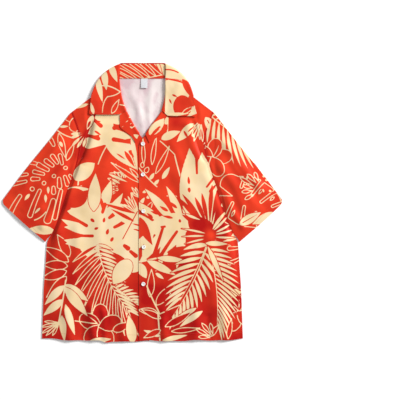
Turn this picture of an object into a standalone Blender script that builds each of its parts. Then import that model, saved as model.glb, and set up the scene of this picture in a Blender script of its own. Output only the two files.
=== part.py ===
"""Short-sleeved shirt with an open camp collar, buttoned up and laid flat on its back.

The frame: +X to the wearer's left, +Y from the hem to the collar, +Z up out of the front. The shirt
lies on Z = 0, and X = 0, Y = 0 is the middle of its outline. Layers from the table up: the fall of the
collar behind the neck, the back, the right front, the left front and the collar's inner band, the
turned-out facings, the two leaves of the collar, the buttons.

Plan points are written in millimetres for the wearer's right half, where X is negative. The left half
is their mirror image, with its own rows where the two differ.
"""

import bmesh
import bpy
import numpy as np

MM = 0.001

# ---- driving dimensions, in millimetres ----
CLOTH = 1.2  # wall of every cloth piece
GAP = 0.3  # clearance between pieces that are sewn or lie on each other
LAYER = CLOTH + GAP  # rise from one layer of cloth to the next
LENGTH = 804.8  # collar's roll to the hem, laid flat
TOP = LENGTH / 2 - CLOTH / 4  # Y of the collar's roll, whose wall stands a little past it
HEM = -LENGTH / 2  # Y of the hem at the button stand
UNDERLAP = 19.0  # right front's hidden edge, past the middle
OVERLAP = 10.0  # left front's edge, past the middle the other way
NECK_SEAM = 362.0  # Y of the back neck edge
BAND_FOOT = 357.0  # Y of the collar band's lower edge, which covers the neck seam
BAND_HALF = 65.0  # half the width of the band between the collar's leaves
FALL_EDGE = 360.0  # Y of the fall's free edge behind the neck
LIFT_SLOPE = 45.0  # plan length over which the back comes down from the fall to the table
SEAM = 0.5  # plan clearance along the armhole
BODICE_EASE = 1.2  # how far the fronts stand off the back between their folds
SEAM_EASE = 0.5  # the same along the armhole
SLOPE_EASE = 0.4  # the same where the back slopes up to the neck
SLEEVE_HALF_HEIGHT = 1.6  # half the height of a flattened sleeve at its folded edges
BUTTON_RADIUS = 5.8
BUTTON_HEIGHT = 2.4

CLOTH_RED = (0.72, 0.07, 0.03)
SHELL_WHITE = (0.86, 0.85, 0.82)
LABEL_WHITE = (0.88, 0.88, 0.88)

# ---- plan outlines of the wearer's right half: x, y ----
SIDE = ((-291, -396), (-286, -256), (-281, -183), (-277.5, -128), (-273.5, -111), (-264, -94))
ARMHOLE = ((-264, -94), (-251, -67), (-236, -24), (-217.5, 34), (-199, 86), (-186, 136),
           (-181, 179), (-190, 217), (-206, 259))
NECK_POINT = (-69.5, 362.8)
FRONT_EDGE = {  # from the top of the button stand up the open neck to the shoulder seam
    "right": ((18.9, 155.9), (10.2, 173.3), (-2.6, 187.8), (-21.6, 213.9), (-36.2, 240), (-48.6, 264.5),
              (-55.6, 281), (-61.3, 300), (-65.2, 320), (-67.4, 337), (-69.2, 352), NECK_POINT),
    "left": ((10, 161.7), (5.8, 175.6), (-5.6, 189.8), (-18.8, 208), (-31.2, 225.5), (-45.6, 243),
             (-59.4, 264.8), (-63.6, 282), (-66.9, 301), (-68.4, 320), (-69, 337), (-69.2, 352), NECK_POINT),
}
STAND_EDGE = {"right": UNDERLAP, "left": OVERLAP}
SHOULDER_POINT = ARMHOLE[-1]
BACK_NECK = ((-69.5, 362.4), (-45, NECK_SEAM), (0, NECK_SEAM))

# Sleeve: its fold from the shoulder to the cuff, its cuff, and its short underarm edge.
SLEEVE_FOLD = ((-207.4, 258.7), (-272, 176), (-340, 92), (-404.5, 6))
CUFF = ((-404.5, 6), (-402.5, -6), (-394, -15.5), (-345, -61), (-281.5, -116))
UNDERARM = ((-264.5, -94), (-273, -104), (-281.5, -116))

# Collar's fall, one row for each rib from its roll (rim) to its free edge: bulge bows the rib outwards,
# turn is 0 below the back and 1 over the front, roll is the height of the rolled edge, crest its width.
FALL_ROWS = {
    "right": (  # rim x, y | edge x, y | bulge | turn | roll | crest
        (-27.6, TOP, -27.6, FALL_EDGE, 0, 0, 0, 3),
        (-47, TOP, -59.5, FALL_EDGE, 0, 0, 0, 3),
        (-57, TOP - 0.2, -91.4, FALL_EDGE - 1, 0, 0, 0, 3),
        (-61.5, TOP - 0.6, -113, 353, 3, 0, 0, 3),
        (-62.6, TOP - 1, -130.5, 330, 9, 0, 0, 3),
        (-63.2, TOP - 1.5, -142, 317, 13, 0, 0, 3),
        (-63.8, TOP - 1.9, -145.5, 313.5, 16, 0.12, 0, 3),
        (-64.2, TOP - 2.6, -147, 311, 16.5, 0.5, 0, 3),
        (-64.6, TOP - 3.8, -147.8, 308, 16, 0.88, 1.2, 3),
        (-65, TOP - 6.5, -148.6, 302, 13.5, 1, 1.6, 3),
        (-65.6, TOP - 13, -149.5, 291, 10, 1, 2.2, 3),
        (-66.3, 374, -150.5, 274.8, 6, 1, 2.4, 3),
        (-66.4, 356, -153.4, 255.1, 1, 1, 2.6, 3),
        (-64.6, 337, -135, 252.7, 0, 1, 2.8, 3),
        (-62.3, 320, -115, 252.4, 0, 1, 2.8, 3),
        (-58.3, 300, -96, 252.5, 0, 1, 2.8, 3),
        (-52.8, 281, -79, 252.8, 0, 1, 2.6, 3),
        (-45.8, 264.6, -65.8, 253.4, 0, 1, 2.4, 3),
    ),
    "left": (
        (-27.6, TOP, -27.6, FALL_EDGE, 0, 0, 0, 3),
        (-47, TOP, -59.5, FALL_EDGE, 0, 0, 0, 3),
        (-58, TOP - 0.2, -91.4, FALL_EDGE - 1, 0, 0, 0, 3),
        (-63, TOP - 0.6, -113, 353, 3, 0, 0, 3),
        (-64.4, TOP - 1, -130.5, 330, 9, 0, 0, 3),
        (-65, TOP - 1.5, -142, 317, 13, 0, 0, 3),
        (-65.6, TOP - 1.9, -145.5, 313.5, 16, 0.12, 0, 3),
        (-66, TOP - 2.6, -147, 311, 16.5, 0.5, 0, 3),
        (-66.3, TOP - 3.8, -147.8, 308, 16, 0.88, 1.2, 3),
        (-66.5, TOP - 6.5, -148.6, 302, 13.5, 1, 1.6, 3),
        (-66.7, TOP - 13, -149.5, 291, 10, 1, 2.2, 3),
        (-66.7, 374, -152, 273, 6, 1, 2.4, 3),
        (-66.4, 356, -158, 247.5, 1, 1, 2.6, 3),
        (-66.1, 337, -138, 248.2, 0, 1, 2.8, 3),
        (-65.6, 320, -118, 248.2, 0, 1, 2.8, 4),
        (-64.1, 301, -101, 248.4, 0, 1, 2.8, 6),
        (-60.2, 282, -85, 248.6, 0, 1, 2.6, 9),
        (-55.4, 264.8, -73, 249.4, 0, 1, 2.4, 9),
    ),
}
# Turned-out facing, one row for each rib from the rolled front edge to the facing's outer edge.
LAPEL_ROWS = {
    "right": (  # rim x, y | edge x, y
        (-45.4, 263.0, -65.6, 251.6), (-39.2, 251, -65.3, 234.2), (-31.6, 237, -63.8, 215.6),
        (-23.8, 222.6, -49.3, 203.4), (-16, 209.5, -33.4, 190.7), (-7.8, 198.5, -20.3, 171.8),
    ),
    "left": (
        (-54.9, 263.2, -72.8, 247.4), (-46.4, 249.5, -72.2, 231.3), (-37.7, 237.7, -71.6, 207.5),
        (-28.4, 225.5, -52.2, 193), (-18.9, 212.1, -34.8, 181.1), (-8.4, 197.3, -20.3, 170.4),
    ),
}
# Folds of the cloth, in the shirt's own plan: from x, y to x, y, bowed sideways by sag, with half-width
# and height. A height below zero is a trough.
FRONT_FOLDS = (  # x0, y0 | x1, y1 | sag | half-width | height
    (-126, 250, -170, 105, 6, 13, 2.6), (-170, 105, -252, -98, -4, 13, 2.6),  # ridge beside the right armhole
    (126, 246, 170, 105, -6, 13, 2.6), (170, 105, 252, -98, 4, 13, 2.6),  # ridge beside the left armhole
    (-140, 262, -184, 118, 7, 7, -3.0), (140, 262, 184, 118, -7, 7, -3.0),  # ditch from collar to armhole
    (-225, -300, -205, -410, 4, 15, 1.6), (-138, -300, -132, -412, -5, 15, 2.4),
    (-112, -330, -106, -412, 3, 9, -1.4), (-62, -310, -55, -410, 6, 16, 1.6),
    (58, -330, 66, -410, -4, 14, 1.8), (140, -300, 150, -410, 5, 17, 2.0), (228, -310, 238, -410, 4, 13, 1.6),
    (-215, -150, -262, -330, -8, 20, 1.4), (215, -150, 262, -330, 8, 20, 1.4),
    (-60, 120, -175, -40, -12, 18, 1.0), (70, 110, 180, -60, 12, 18, 1.0),
)
SLEEVE_FOLDS = (
    (-232, 205, -372, 10, 10, 20, 1.8), (-215, 120, -330, -35, -8, 16, 1.5),
    (-232, 20, -300, -80, 4, 12, 1.2), (-205, 200, -222, 60, 6, 10, -1.0),
)


# ---- curves and fields ----
def smooth(t):
    """Smooth step from 0 at t = 0 to 1 at t = 1."""
    t = np.clip(t, 0, 1)
    return t * t * (3 - 2 * t)


def curve(points, t):
    """Point at t (0 to 1 along its length) on the smooth curve through the points (Catmull-Rom)."""
    p = np.asarray(points, float)
    p = np.vstack((2 * p[0] - p[1], p, 2 * p[-1] - p[-2]))
    s = np.linspace(0, 1, 9)[:-1, None]
    dense = []
    for a, b, c, d in zip(p, p[1:], p[2:], p[3:]):
        dense.append(b + ((c - a) * s + (2 * a - 5 * b + 4 * c - d) * s**2 + (3 * b - a - 3 * c + d) * s**3) / 2)
    dense = np.vstack(dense + [p[-2]])
    run = np.concatenate(([0], np.cumsum(np.hypot(*np.diff(dense, axis=0).T))))
    return np.stack([np.interp(np.asarray(t) * run[-1], run, axis) for axis in dense.T], -1)


def joined(t, *stretches):
    """Point at t on several curves end to end, each a pair of its points and the t where it ends."""
    start, out = 0.0, np.zeros((len(t), 2))
    for points, end in stretches:
        here = (t >= start) & (t <= end)
        out[here] = curve(points, (t[here] - start) / (end - start))
        start = end
    return out


def coons(u, v, left, right, bottom, top):
    """Patch between four edge curves: left and right along v, bottom and top along u."""
    ends = np.array((0.0, 1.0))
    low, high = bottom(ends), top(ends)
    between = (1 - v)[:, None] * bottom(u) + v[:, None] * top(u)
    across = (1 - u)[:, None] * left(v) + u[:, None] * right(v)
    u, v = u[:, None], v[:, None]
    corners = (1 - v) * ((1 - u) * low[0] + u * low[1]) + v * ((1 - u) * high[0] + u * high[1])
    return across + between - corners


def distance(xy, path):
    """Shortest distance from each point to an open path, and how far along the path (0 to 1) it is."""
    path = np.asarray(path, float)
    a, b = path[:-1], path[1:]
    span = b - a
    t = ((xy[:, None] - a) * span).sum(-1) / (span**2).sum(-1)
    t = np.clip(t, 0, 1)
    off = np.hypot(*np.moveaxis(xy[:, None] - a - t[..., None] * span, -1, 0))
    near = off.argmin(1)
    pick = np.arange(len(xy)), near
    return off[pick], (near + t[pick]) / len(a)


def folds(xy, rows):
    """Sum of soft ridges and troughs, each a bell across its bowed line, tapered at both ends."""
    total = np.zeros(len(xy))
    for x0, y0, x1, y1, sag, half_width, height in rows:
        side = np.array((y0 - y1, x1 - x0)) / np.hypot(x1 - x0, y1 - y0)
        middle = np.array(((x0 + x1) / 2, (y0 + y1) / 2)) + side * sag
        off, along = distance(xy, curve(((x0, y0), middle, (x1, y1)), np.linspace(0, 1, 9)))
        total += height * np.exp(-((off / half_width) ** 2)) * smooth(along * 6) * smooth((1 - along) * 6 + 0.3)
    return total


FALL_PATH = [(0, FALL_EDGE)] + [row[2:4] for row in FALL_ROWS["right"][:8]]


def lift(xy):
    """How far the fall of the collar holds the back off the table."""
    half = np.column_stack((-np.abs(xy[:, 0]), xy[:, 1]))
    edge_x, edge_y = np.array(FALL_PATH).T
    inside = (half[:, 1] > np.interp(-half[:, 0], -edge_x, edge_y)) & (half[:, 0] > edge_x[-1])
    off = np.where(inside, 0, distance(half, FALL_PATH)[0])
    return LAYER * (1 - smooth((off - 2) / LIFT_SLOPE))


def above_back(xy):
    """Underside of what lies on the back, a little clearer of it where the back slopes."""
    raised = lift(xy)
    slope = 4 * (raised / LAYER) * (1 - raised / LAYER)
    return raised + LAYER + SLOPE_EASE * slope


def under_collar(xy):
    """1 where the collar's leaves press the fronts flat, 0 away from them."""
    return smooth((xy[:, 1] - 222) / 22) * smooth((170 - np.abs(xy[:, 0])) / 14)


def front_underside(xy, off_side, off_shoulder, on_side):
    """Underside of a front: on the back, eased off it, with its folds; off_ are distances to its seams."""
    ease = BODICE_EASE * smooth(off_side / 45) + folds(xy, FRONT_FOLDS) * smooth(off_side / 16)
    ease = np.maximum(ease, 0) * smooth(off_shoulder / 30) * (1 - under_collar(xy))
    seam = SEAM_EASE * (1 - on_side) * smooth(off_shoulder / 20) * (1 - smooth(off_side / 30))
    return above_back(xy) + ease + seam


def over_stand(xy):
    """Rise of the left front where it laps over the right one."""
    return LAYER * (1 - smooth((xy[:, 0] - UNDERLAP - 6) / 30))


# ---- building ----
def material(name, colour, roughness):
    made = bpy.data.materials.new(name)
    made.use_nodes = True
    shader = made.node_tree.nodes["Principled BSDF"]
    shader.inputs["Base Color"].default_value = (*colour, 1)
    shader.inputs["Roughness"].default_value = roughness
    shader.inputs["Metallic"].default_value = 0
    made.diffuse_color = (*colour, 1)
    return made


def add(name, grid, finish):
    """Object from a bmesh in millimetres, in the shirt's collection, with its own material."""
    bmesh.ops.scale(grid, vec=(MM, MM, MM), verts=grid.verts)
    mesh = bpy.data.meshes.new(name)
    grid.to_mesh(mesh)
    grid.free()
    mesh.shade_smooth()
    mesh.set_sharp_from_angle(angle=0.7)
    mesh.materials.append(material(name, *finish))
    piece = bpy.data.objects.new(name, mesh)
    shirt.objects.link(piece)
    return piece


def wall(piece, grow, thickness=CLOTH):
    """Cloth's thickness: grow 1 adds it on the face side, -1 behind, 0 on both."""
    solid = piece.modifiers.new("cloth", "SOLIDIFY")
    solid.thickness = thickness * MM
    solid.offset = grow
    solid.use_quality_normals = True
    return piece


def sheet(name, shape, across, up, grow=1, turned=False, closed=False, finish=(CLOTH_RED, 0.6)):
    """Cloth piece from a grid carried to shape(u, v), with u at the across and v at the up values."""
    grid = bmesh.new()
    bmesh.ops.create_grid(grid, x_segments=len(across) - 1, y_segments=len(up) - 1, size=0.5)
    flat = np.array([vert.co[:2] for vert in grid.verts]) + 0.5
    u = np.interp(flat[:, 0], np.linspace(0, 1, len(across)), across)
    v = np.interp(flat[:, 1], np.linspace(0, 1, len(up)), up)
    for vert, place in zip(grid.verts, shape(u, v)):
        vert.co = place
    if closed:
        bmesh.ops.remove_doubles(grid, verts=grid.verts, dist=0.001)
    if turned:
        bmesh.ops.reverse_faces(grid, faces=grid.faces)
    return wall(add(name, grid, finish), grow)


def mirrored(points, side):
    """Points of the right half, or their mirror image for the left half."""
    flip = -1 if side == "left" else 1
    return np.asarray(points, float) * (flip, 1)


def level_points(*stops):
    """Grid values through the stops (value, cells up to it), evenly spaced between them."""
    values, start = [0.0], 0.0
    for value, cells in stops:
        values += list(np.linspace(start, value, cells + 1)[1:])
        start = value
    return values


UNDERARM_ROW = 0.42  # share of a panel's height from the hem to the underarm
ROWS = level_points((0.1, 2), (UNDERARM_ROW, 6), (0.72, 8), (1, 10))  # the back and both fronts share these


def outer_edge(v, side):
    """Side seam up to the underarm, then the armhole up to the shoulder."""
    return joined(v, (mirrored(SIDE, side), UNDERARM_ROW), (mirrored(ARMHOLE, side), 1))


def hem_line(x):
    """Hem's Y, higher at the side seams."""
    return HEM + (SIDE[0][1] - HEM) * (x / SIDE[0][0]) ** 2


def build_back():
    shoulder = 0.3
    neck = np.vstack((BACK_NECK, mirrored(BACK_NECK[-2::-1], "left")))
    tops = (((SHOULDER_POINT, BACK_NECK[0]), shoulder), (neck, 1 - shoulder),
            ((neck[-1], mirrored(SHOULDER_POINT, "left")), 1))

    def bottom(u):
        x = SIDE[0][0] * (1 - 2 * u)
        return np.column_stack((x, hem_line(x)))

    def shape(u, v):
        xy = coons(u, v, lambda t: outer_edge(t, "right"), lambda t: outer_edge(t, "left"), bottom,
                   lambda t: joined(t, *tops))
        return np.column_stack((xy, lift(xy)))

    across = level_points((shoulder, 7), (1 - shoulder, 10), (1, 7))
    return sheet("back", shape, across, ROWS)


def build_front(side):
    edge, stand = FRONT_EDGE[side], STAND_EDGE[side]
    inner = ((mirrored(((stand, HEM), edge[0]), side), 0.72), (mirrored(edge, side), 1))
    flip = -1 if side == "left" else 1
    shoulder = mirrored((SHOULDER_POINT, NECK_POINT), side)

    def bottom(u):
        x = SIDE[0][0] + (stand - SIDE[0][0]) * u
        return np.column_stack((x * flip, hem_line(x * flip)))

    def shape(u, v):
        xy = coons(u, v, lambda t: outer_edge(t, side), lambda t: joined(t, *inner), bottom,
                   lambda t: curve(shoulder, t))
        off_side = np.hypot(*(xy - outer_edge(v, side)).T)
        off_shoulder = distance(xy, shoulder)[0]
        z = front_underside(xy, off_side, off_shoulder, 1 - smooth((v - 0.38) / 0.06))
        if side == "left":
            z = z + over_stand(xy)
        return np.column_stack((xy, z))

    across = level_points((0.12, 3), (0.3, 3), (0.7, 4), (0.94, 4), (1, 1))
    return sheet(f"front_{side}", shape, across, ROWS, turned=side == "left")


def build_sleeve(side):
    """Flattened tube: rings from the armhole to the cuff, each over the top wall and back below.

    The rings have a point at each row of the panels, so that both sides of the armhole match.
    """
    radius = SLEEVE_HALF_HEIGHT
    down = [(1 - row) / (1 - UNDERARM_ROW) for row in ROWS[::-1] if row >= UNDERARM_ROW - 0.001]
    bend = np.radians((45, 0, -45))
    ring = [(place, radius * (place in (0, 1)), 2 * radius, 1) for place in down]
    ring += [(1, radius * (1 - np.cos(a)), radius * (1 + np.sin(a)), 0) for a in bend]
    ring += [(place, radius * (place in (0, 1)), 0, 0) for place in down[::-1]]
    ring += [(0, radius * (1 - np.cos(a)), radius * (1 + np.sin(a)), 0) for a in bend[::-1]]
    ring = np.array(ring + ring[:1])  # place across, step in from the folded edge, height, on top or not

    def shape(u, v):
        across, step, z, top = ring[np.rint(u * (len(ring) - 1)).astype(int)].T
        fold, under = curve(SLEEVE_FOLD, v), curve(UNDERARM, v)
        xy = coons(across, v, lambda t: curve(SLEEVE_FOLD, t), lambda t: curve(UNDERARM, t),
                   lambda t: curve(ARMHOLE, 1 - t) - (SEAM, 0), lambda t: curve(CUFF, t))
        inward = (under - fold) / np.hypot(*(under - fold).T)[:, None] * np.sign(0.5 - across)[:, None]
        xy = xy + inward * step[:, None]
        ends = smooth(across * 8) * smooth((1 - across) * 8)
        ease = np.sin(np.pi * across) + folds(xy, SLEEVE_FOLDS) * ends
        z = z + top * np.maximum(ease, 0) * smooth(v * 6)
        return np.column_stack((mirrored(xy, side), z))

    return sheet(f"sleeve_{side}", shape, np.linspace(0, 1, len(ring)), np.linspace(0, 1, 10), grow=-1,
                 turned=side == "right", closed=True)


def rolled(rows, turn_heights, level):
    """Places on a strip whose ribs roll out of a rim and lie down to a free edge.

    rows give rim, edge, bulge, turn, roll and crest of each rib; turn_heights is the rib's height where
    it lies below; level is the height of the layer that it lies on, as a function of the plan.
    """
    near = np.array((1.6, 0.3, 0.8))
    far = np.array((0, 0.14, 0.32, 0.55, 0.78, 1))
    rise = np.array((0.1, 0.9, 1.6, 2.2, 2.0, 1.8, 1.7, 1.7, 1.7))
    swell = np.array((0, 0.3, 0.75, 1, 0.85, 0.5, 0.2, 0.08, 0.08))
    places = []
    for rim_x, rim_y, edge_x, edge_y, bulge, turn, roll, crest in rows:
        rim, edge = np.array((rim_x, rim_y)), np.array((edge_x, edge_y))
        length = np.hypot(*(edge - rim))
        ahead = (edge - rim) / length
        out = np.array((ahead[1], -ahead[0])) * (1 if rim_x <= 0 else -1)
        run = np.concatenate((near, crest + far * (length - crest)))
        share = run / length
        xy = rim + ahead * run[:, None] + out * (4 * bulge * share * (1 - share))[:, None]
        over = level(xy) + CLOTH / 2 + rise + swell * roll
        places.append(np.column_stack((xy, (1 - turn) * turn_heights + turn * over)))
    return np.array(places)


def strip(name, places, grow, turned, finish=(CLOTH_RED, 0.6)):
    """Cloth piece through the places, an array of rows of points."""
    rows, columns = places.shape[:2]

    def shape(u, v):
        return places[np.rint(v * (rows - 1)).astype(int), np.rint(u * (columns - 1)).astype(int)]

    return sheet(name, shape, np.linspace(0, 1, columns), np.linspace(0, 1, rows), grow, turned, finish=finish)


def both_sides(table):
    """Rows round the whole neck: right side back to the middle, a middle row, then the left side."""
    right, left = np.array(table["right"], float), np.array(table["left"], float)
    left[:, [0, 2]] *= -1
    middle = right[0].copy()
    middle[[0, 2]] = 0
    return np.vstack((right[::-1], middle, left))


def build_collar():
    below = CLOTH / 2 + np.array((2.7, 1.8, 0.7, 0, 0, 0, 0, 0, 0))
    places = rolled(both_sides(FALL_ROWS), below, above_back)
    return strip("collar", places, 0, False)


def build_band():
    """Inner band of the collar behind the neck: it covers the neck seam and ends below the leaves."""
    top = TOP - 2.8

    def shape(u, v):
        x = BAND_HALF * (2 * u - 1)
        y = BAND_FOOT + (top - 3 * smooth((np.abs(x) - 56) / 9) - BAND_FOOT) * v
        xy = np.column_stack((x, y))
        return np.column_stack((xy, above_back(xy)))

    return sheet("collar_band", shape, np.linspace(0, 1, 19), np.linspace(0, 1, 4))


def build_lapel(side):
    rows = np.array(LAPEL_ROWS[side], float)
    rows = np.column_stack((rows, np.tile((0, 1, 0.8, 3), (len(rows), 1))))
    rows[:, [0, 2]] *= -1 if side == "left" else 1
    shoulder = mirrored((SHOULDER_POINT, NECK_POINT), side)

    def level(xy):
        z = front_underside(xy, np.full(len(xy), 150.0), distance(xy, shoulder)[0], 0)
        return z + over_stand(xy) if side == "left" else z

    places = rolled(rows, 0, level)
    return strip(f"lapel_{side}", places, 0, side == "left")


def build_label():
    width, length, middle = 19.0, 27.0, 5.2
    top = BAND_FOOT - 0.6

    def shape(u, v):
        xy = np.column_stack((middle + width * (u - 0.5), top - length * (1 - v)))
        return np.column_stack((xy, above_back(xy)))

    label = sheet("label", shape, np.linspace(0, 1, 3), np.linspace(0, 1, 7), finish=(LABEL_WHITE, 0.7))
    label.modifiers["cloth"].thickness = 1.0 * MM
    return label


def build_buttons():
    """White shell buttons: a raised rim round a sunk middle with four holes."""
    places = ((1.5, 168), (1.5, 79), (2.9, -27), (3.8, -131), (2.9, -238))
    well = BUTTON_HEIGHT - 0.7
    profile = ((0, well), (3.5, well), (4.4, BUTTON_HEIGHT), (5.3, BUTTON_HEIGHT - 0.1),
               (BUTTON_RADIUS, BUTTON_HEIGHT * 0.5), (4.6, 0), (0, 0))
    shoulder = mirrored((SHOULDER_POINT, NECK_POINT), "left")
    rim = np.radians(np.arange(0, 360, 30))
    for number, (x, y) in enumerate(places, 1):
        disc = np.column_stack((x + BUTTON_RADIUS * np.cos(rim), y + BUTTON_RADIUS * np.sin(rim)))
        top = front_underside(disc, np.full(len(disc), 150.0), distance(disc, shoulder)[0], 0) + over_stand(disc)
        outline = bmesh.new()
        line = [outline.verts.new((r, 0, z)) for r, z in profile]
        for pair in zip(line, line[1:]):
            outline.edges.new(pair)
        button = add(f"button_{number}", outline, (SHELL_WHITE, 0.3))
        button.location = (x * MM, y * MM, (top.max() + CLOTH + GAP) * MM)
        turn = button.modifiers.new("turned", "SCREW")
        turn.steps = turn.render_steps = 20
        turn.use_merge_vertices = True
        turn.merge_threshold = 0.00001
        cut = button.modifiers.new("holes", "BOOLEAN")
        cut.object = button_holes(button)


def button_holes(button):
    """Cutter for a button's four thread holes."""
    pins = bmesh.new()
    for x in (-1.5, 1.5):
        for y in (-1.5, 1.5):
            pin = bmesh.ops.create_cone(pins, cap_ends=True, segments=8, radius1=0.9, radius2=0.9, depth=8)
            bmesh.ops.translate(pins, vec=(x, y, 1), verts=pin["verts"])
    bmesh.ops.scale(pins, vec=(MM, MM, MM), verts=pins.verts)
    mesh = bpy.data.meshes.new(f"{button.name}_holes")
    pins.to_mesh(mesh)
    pins.free()
    cutter = bpy.data.objects.new(mesh.name, mesh)
    cutter.location = button.location
    cutter.hide_render = True
    cutter.display_type = "WIRE"
    cutters.objects.link(cutter)
    return cutter


for old in list(bpy.data.objects):
    bpy.data.objects.remove(old)

shirt = bpy.data.collections.new("hawaiian_shirt")
bpy.context.scene.collection.children.link(shirt)
cutters = bpy.data.collections.new("cutters")
bpy.context.scene.collection.children.link(cutters)

build_back()
for side_name in ("right", "left"):
    build_front(side_name)
    build_sleeve(side_name)
    build_lapel(side_name)
build_collar()
build_band()
build_label()
build_buttons()
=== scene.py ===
"""Dressed model of a short-sleeved camp-collar shirt, buttoned up and laid flat on its back.

Plan points are in millimetres: X to the wearer's left, Y from the hem to the collar, Z up. Tables give the
wearer's right half, where X is negative, and the left half is its mirror image unless it has rows of its own.
"""

import bpy
import numpy as np
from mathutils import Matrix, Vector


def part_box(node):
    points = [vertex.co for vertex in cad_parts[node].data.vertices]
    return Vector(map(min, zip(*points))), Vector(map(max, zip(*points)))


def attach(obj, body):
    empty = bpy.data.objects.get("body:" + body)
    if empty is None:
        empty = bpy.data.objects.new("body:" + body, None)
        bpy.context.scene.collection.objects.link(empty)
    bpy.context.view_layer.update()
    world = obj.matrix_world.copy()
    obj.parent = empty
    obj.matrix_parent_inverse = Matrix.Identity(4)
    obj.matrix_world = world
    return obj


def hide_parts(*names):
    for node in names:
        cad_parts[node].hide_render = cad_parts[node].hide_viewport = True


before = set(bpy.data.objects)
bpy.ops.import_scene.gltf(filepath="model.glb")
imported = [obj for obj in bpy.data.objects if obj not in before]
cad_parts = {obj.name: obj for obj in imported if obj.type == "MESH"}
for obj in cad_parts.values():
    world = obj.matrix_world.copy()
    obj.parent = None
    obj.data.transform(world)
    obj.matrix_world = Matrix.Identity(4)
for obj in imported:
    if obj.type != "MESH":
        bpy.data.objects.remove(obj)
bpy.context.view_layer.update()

MM = 0.001
SIDES = ("right", "left")

# ---- the shirt's cut, as in its solids: millimetres ----
WALL = 1.2  # cloth thickness of the solids, which sets how high each layer lies
CLOTH = 0.9  # cloth thickness of the dressed pieces
AIR = 0.3  # left between one layer and the next
LAYER = WALL + AIR
LENGTH = 804.8
TOP = LENGTH / 2 - WALL / 4
HEM = -LENGTH / 2
UNDERLAP, OVERLAP = 19.0, 10.0  # how far the right and the left front run past the middle
NECK_SEAM, BAND_FOOT, FALL_EDGE, BAND_HALF = 362.0, 357.0, 360.0, 65.0
LIFT_REST, LIFT_SLOPE = 2, 45.0  # the back stays up just past the collar's fall, then comes down to the table
STAND_REST, STAND_SLOPE = 6, 30  # the left front does the same past the right one's edge
SEAM = 0.5  # gap between a sleeve and the body at the armhole
BODICE_EASE = 1.2  # how far the fronts stand off the back
CREASE_EASE = 1.3  # how much further they do beside the button stand
SEAM_EASE = 0.5  # how far they stand off it along the armhole
SLOPE_EASE = 0.4  # room added where the back slopes
SLEEVE_HALF_HEIGHT = 1.6
SLEEVE_EASE = 2.4  # how far a sleeve's top wall stands up in its middle
UNDERARM_ROW = 0.42  # share of a panel's height from the hem to the underarm

# ---- plan outlines of the wearer's right half: x, y ----
SIDE = ((-291, -396), (-286, -256), (-281, -183), (-277.5, -128), (-273.5, -111), (-264, -94))
ARMHOLE = ((-264, -94), (-251, -67), (-236, -24), (-217.5, 34), (-199, 86), (-186, 136),
           (-181, 179), (-190, 217), (-206, 259))
NECK_POINT = (-69.5, 362.8)
FRONT_EDGE = {  # from the top of the button stand up the open neck to the shoulder seam
    "right": ((18.9, 155.9), (10.2, 173.3), (-2.6, 187.8), (-21.6, 213.9), (-36.2, 240), (-48.6, 264.5),
              (-55.6, 281), (-61.3, 300), (-65.2, 320), (-67.4, 337), (-69.2, 352), NECK_POINT),
    "left": ((10, 161.7), (5.8, 175.6), (-5.6, 189.8), (-18.8, 208), (-31.2, 225.5), (-45.6, 243),
             (-59.4, 264.8), (-63.6, 282), (-66.9, 301), (-68.4, 320), (-69, 337), (-69.2, 352), NECK_POINT),
}
STAND_EDGE = {"right": UNDERLAP, "left": OVERLAP}
SHOULDER_POINT = ARMHOLE[-1]
BACK_NECK = ((-69.5, 362.4), (-45, NECK_SEAM), (0, NECK_SEAM))

# Sleeve: its fold from the shoulder to the cuff, its cuff, and its short underarm edge.
SLEEVE_FOLD = ((-207.4, 258.7), (-272, 176), (-340, 92), (-404.5, 6))
CUFF = ((-404.5, 6), (-402.5, -6), (-394, -15.5), (-345, -61), (-281.5, -116))
UNDERARM = ((-264.5, -94), (-273, -104), (-281.5, -116))

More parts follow.
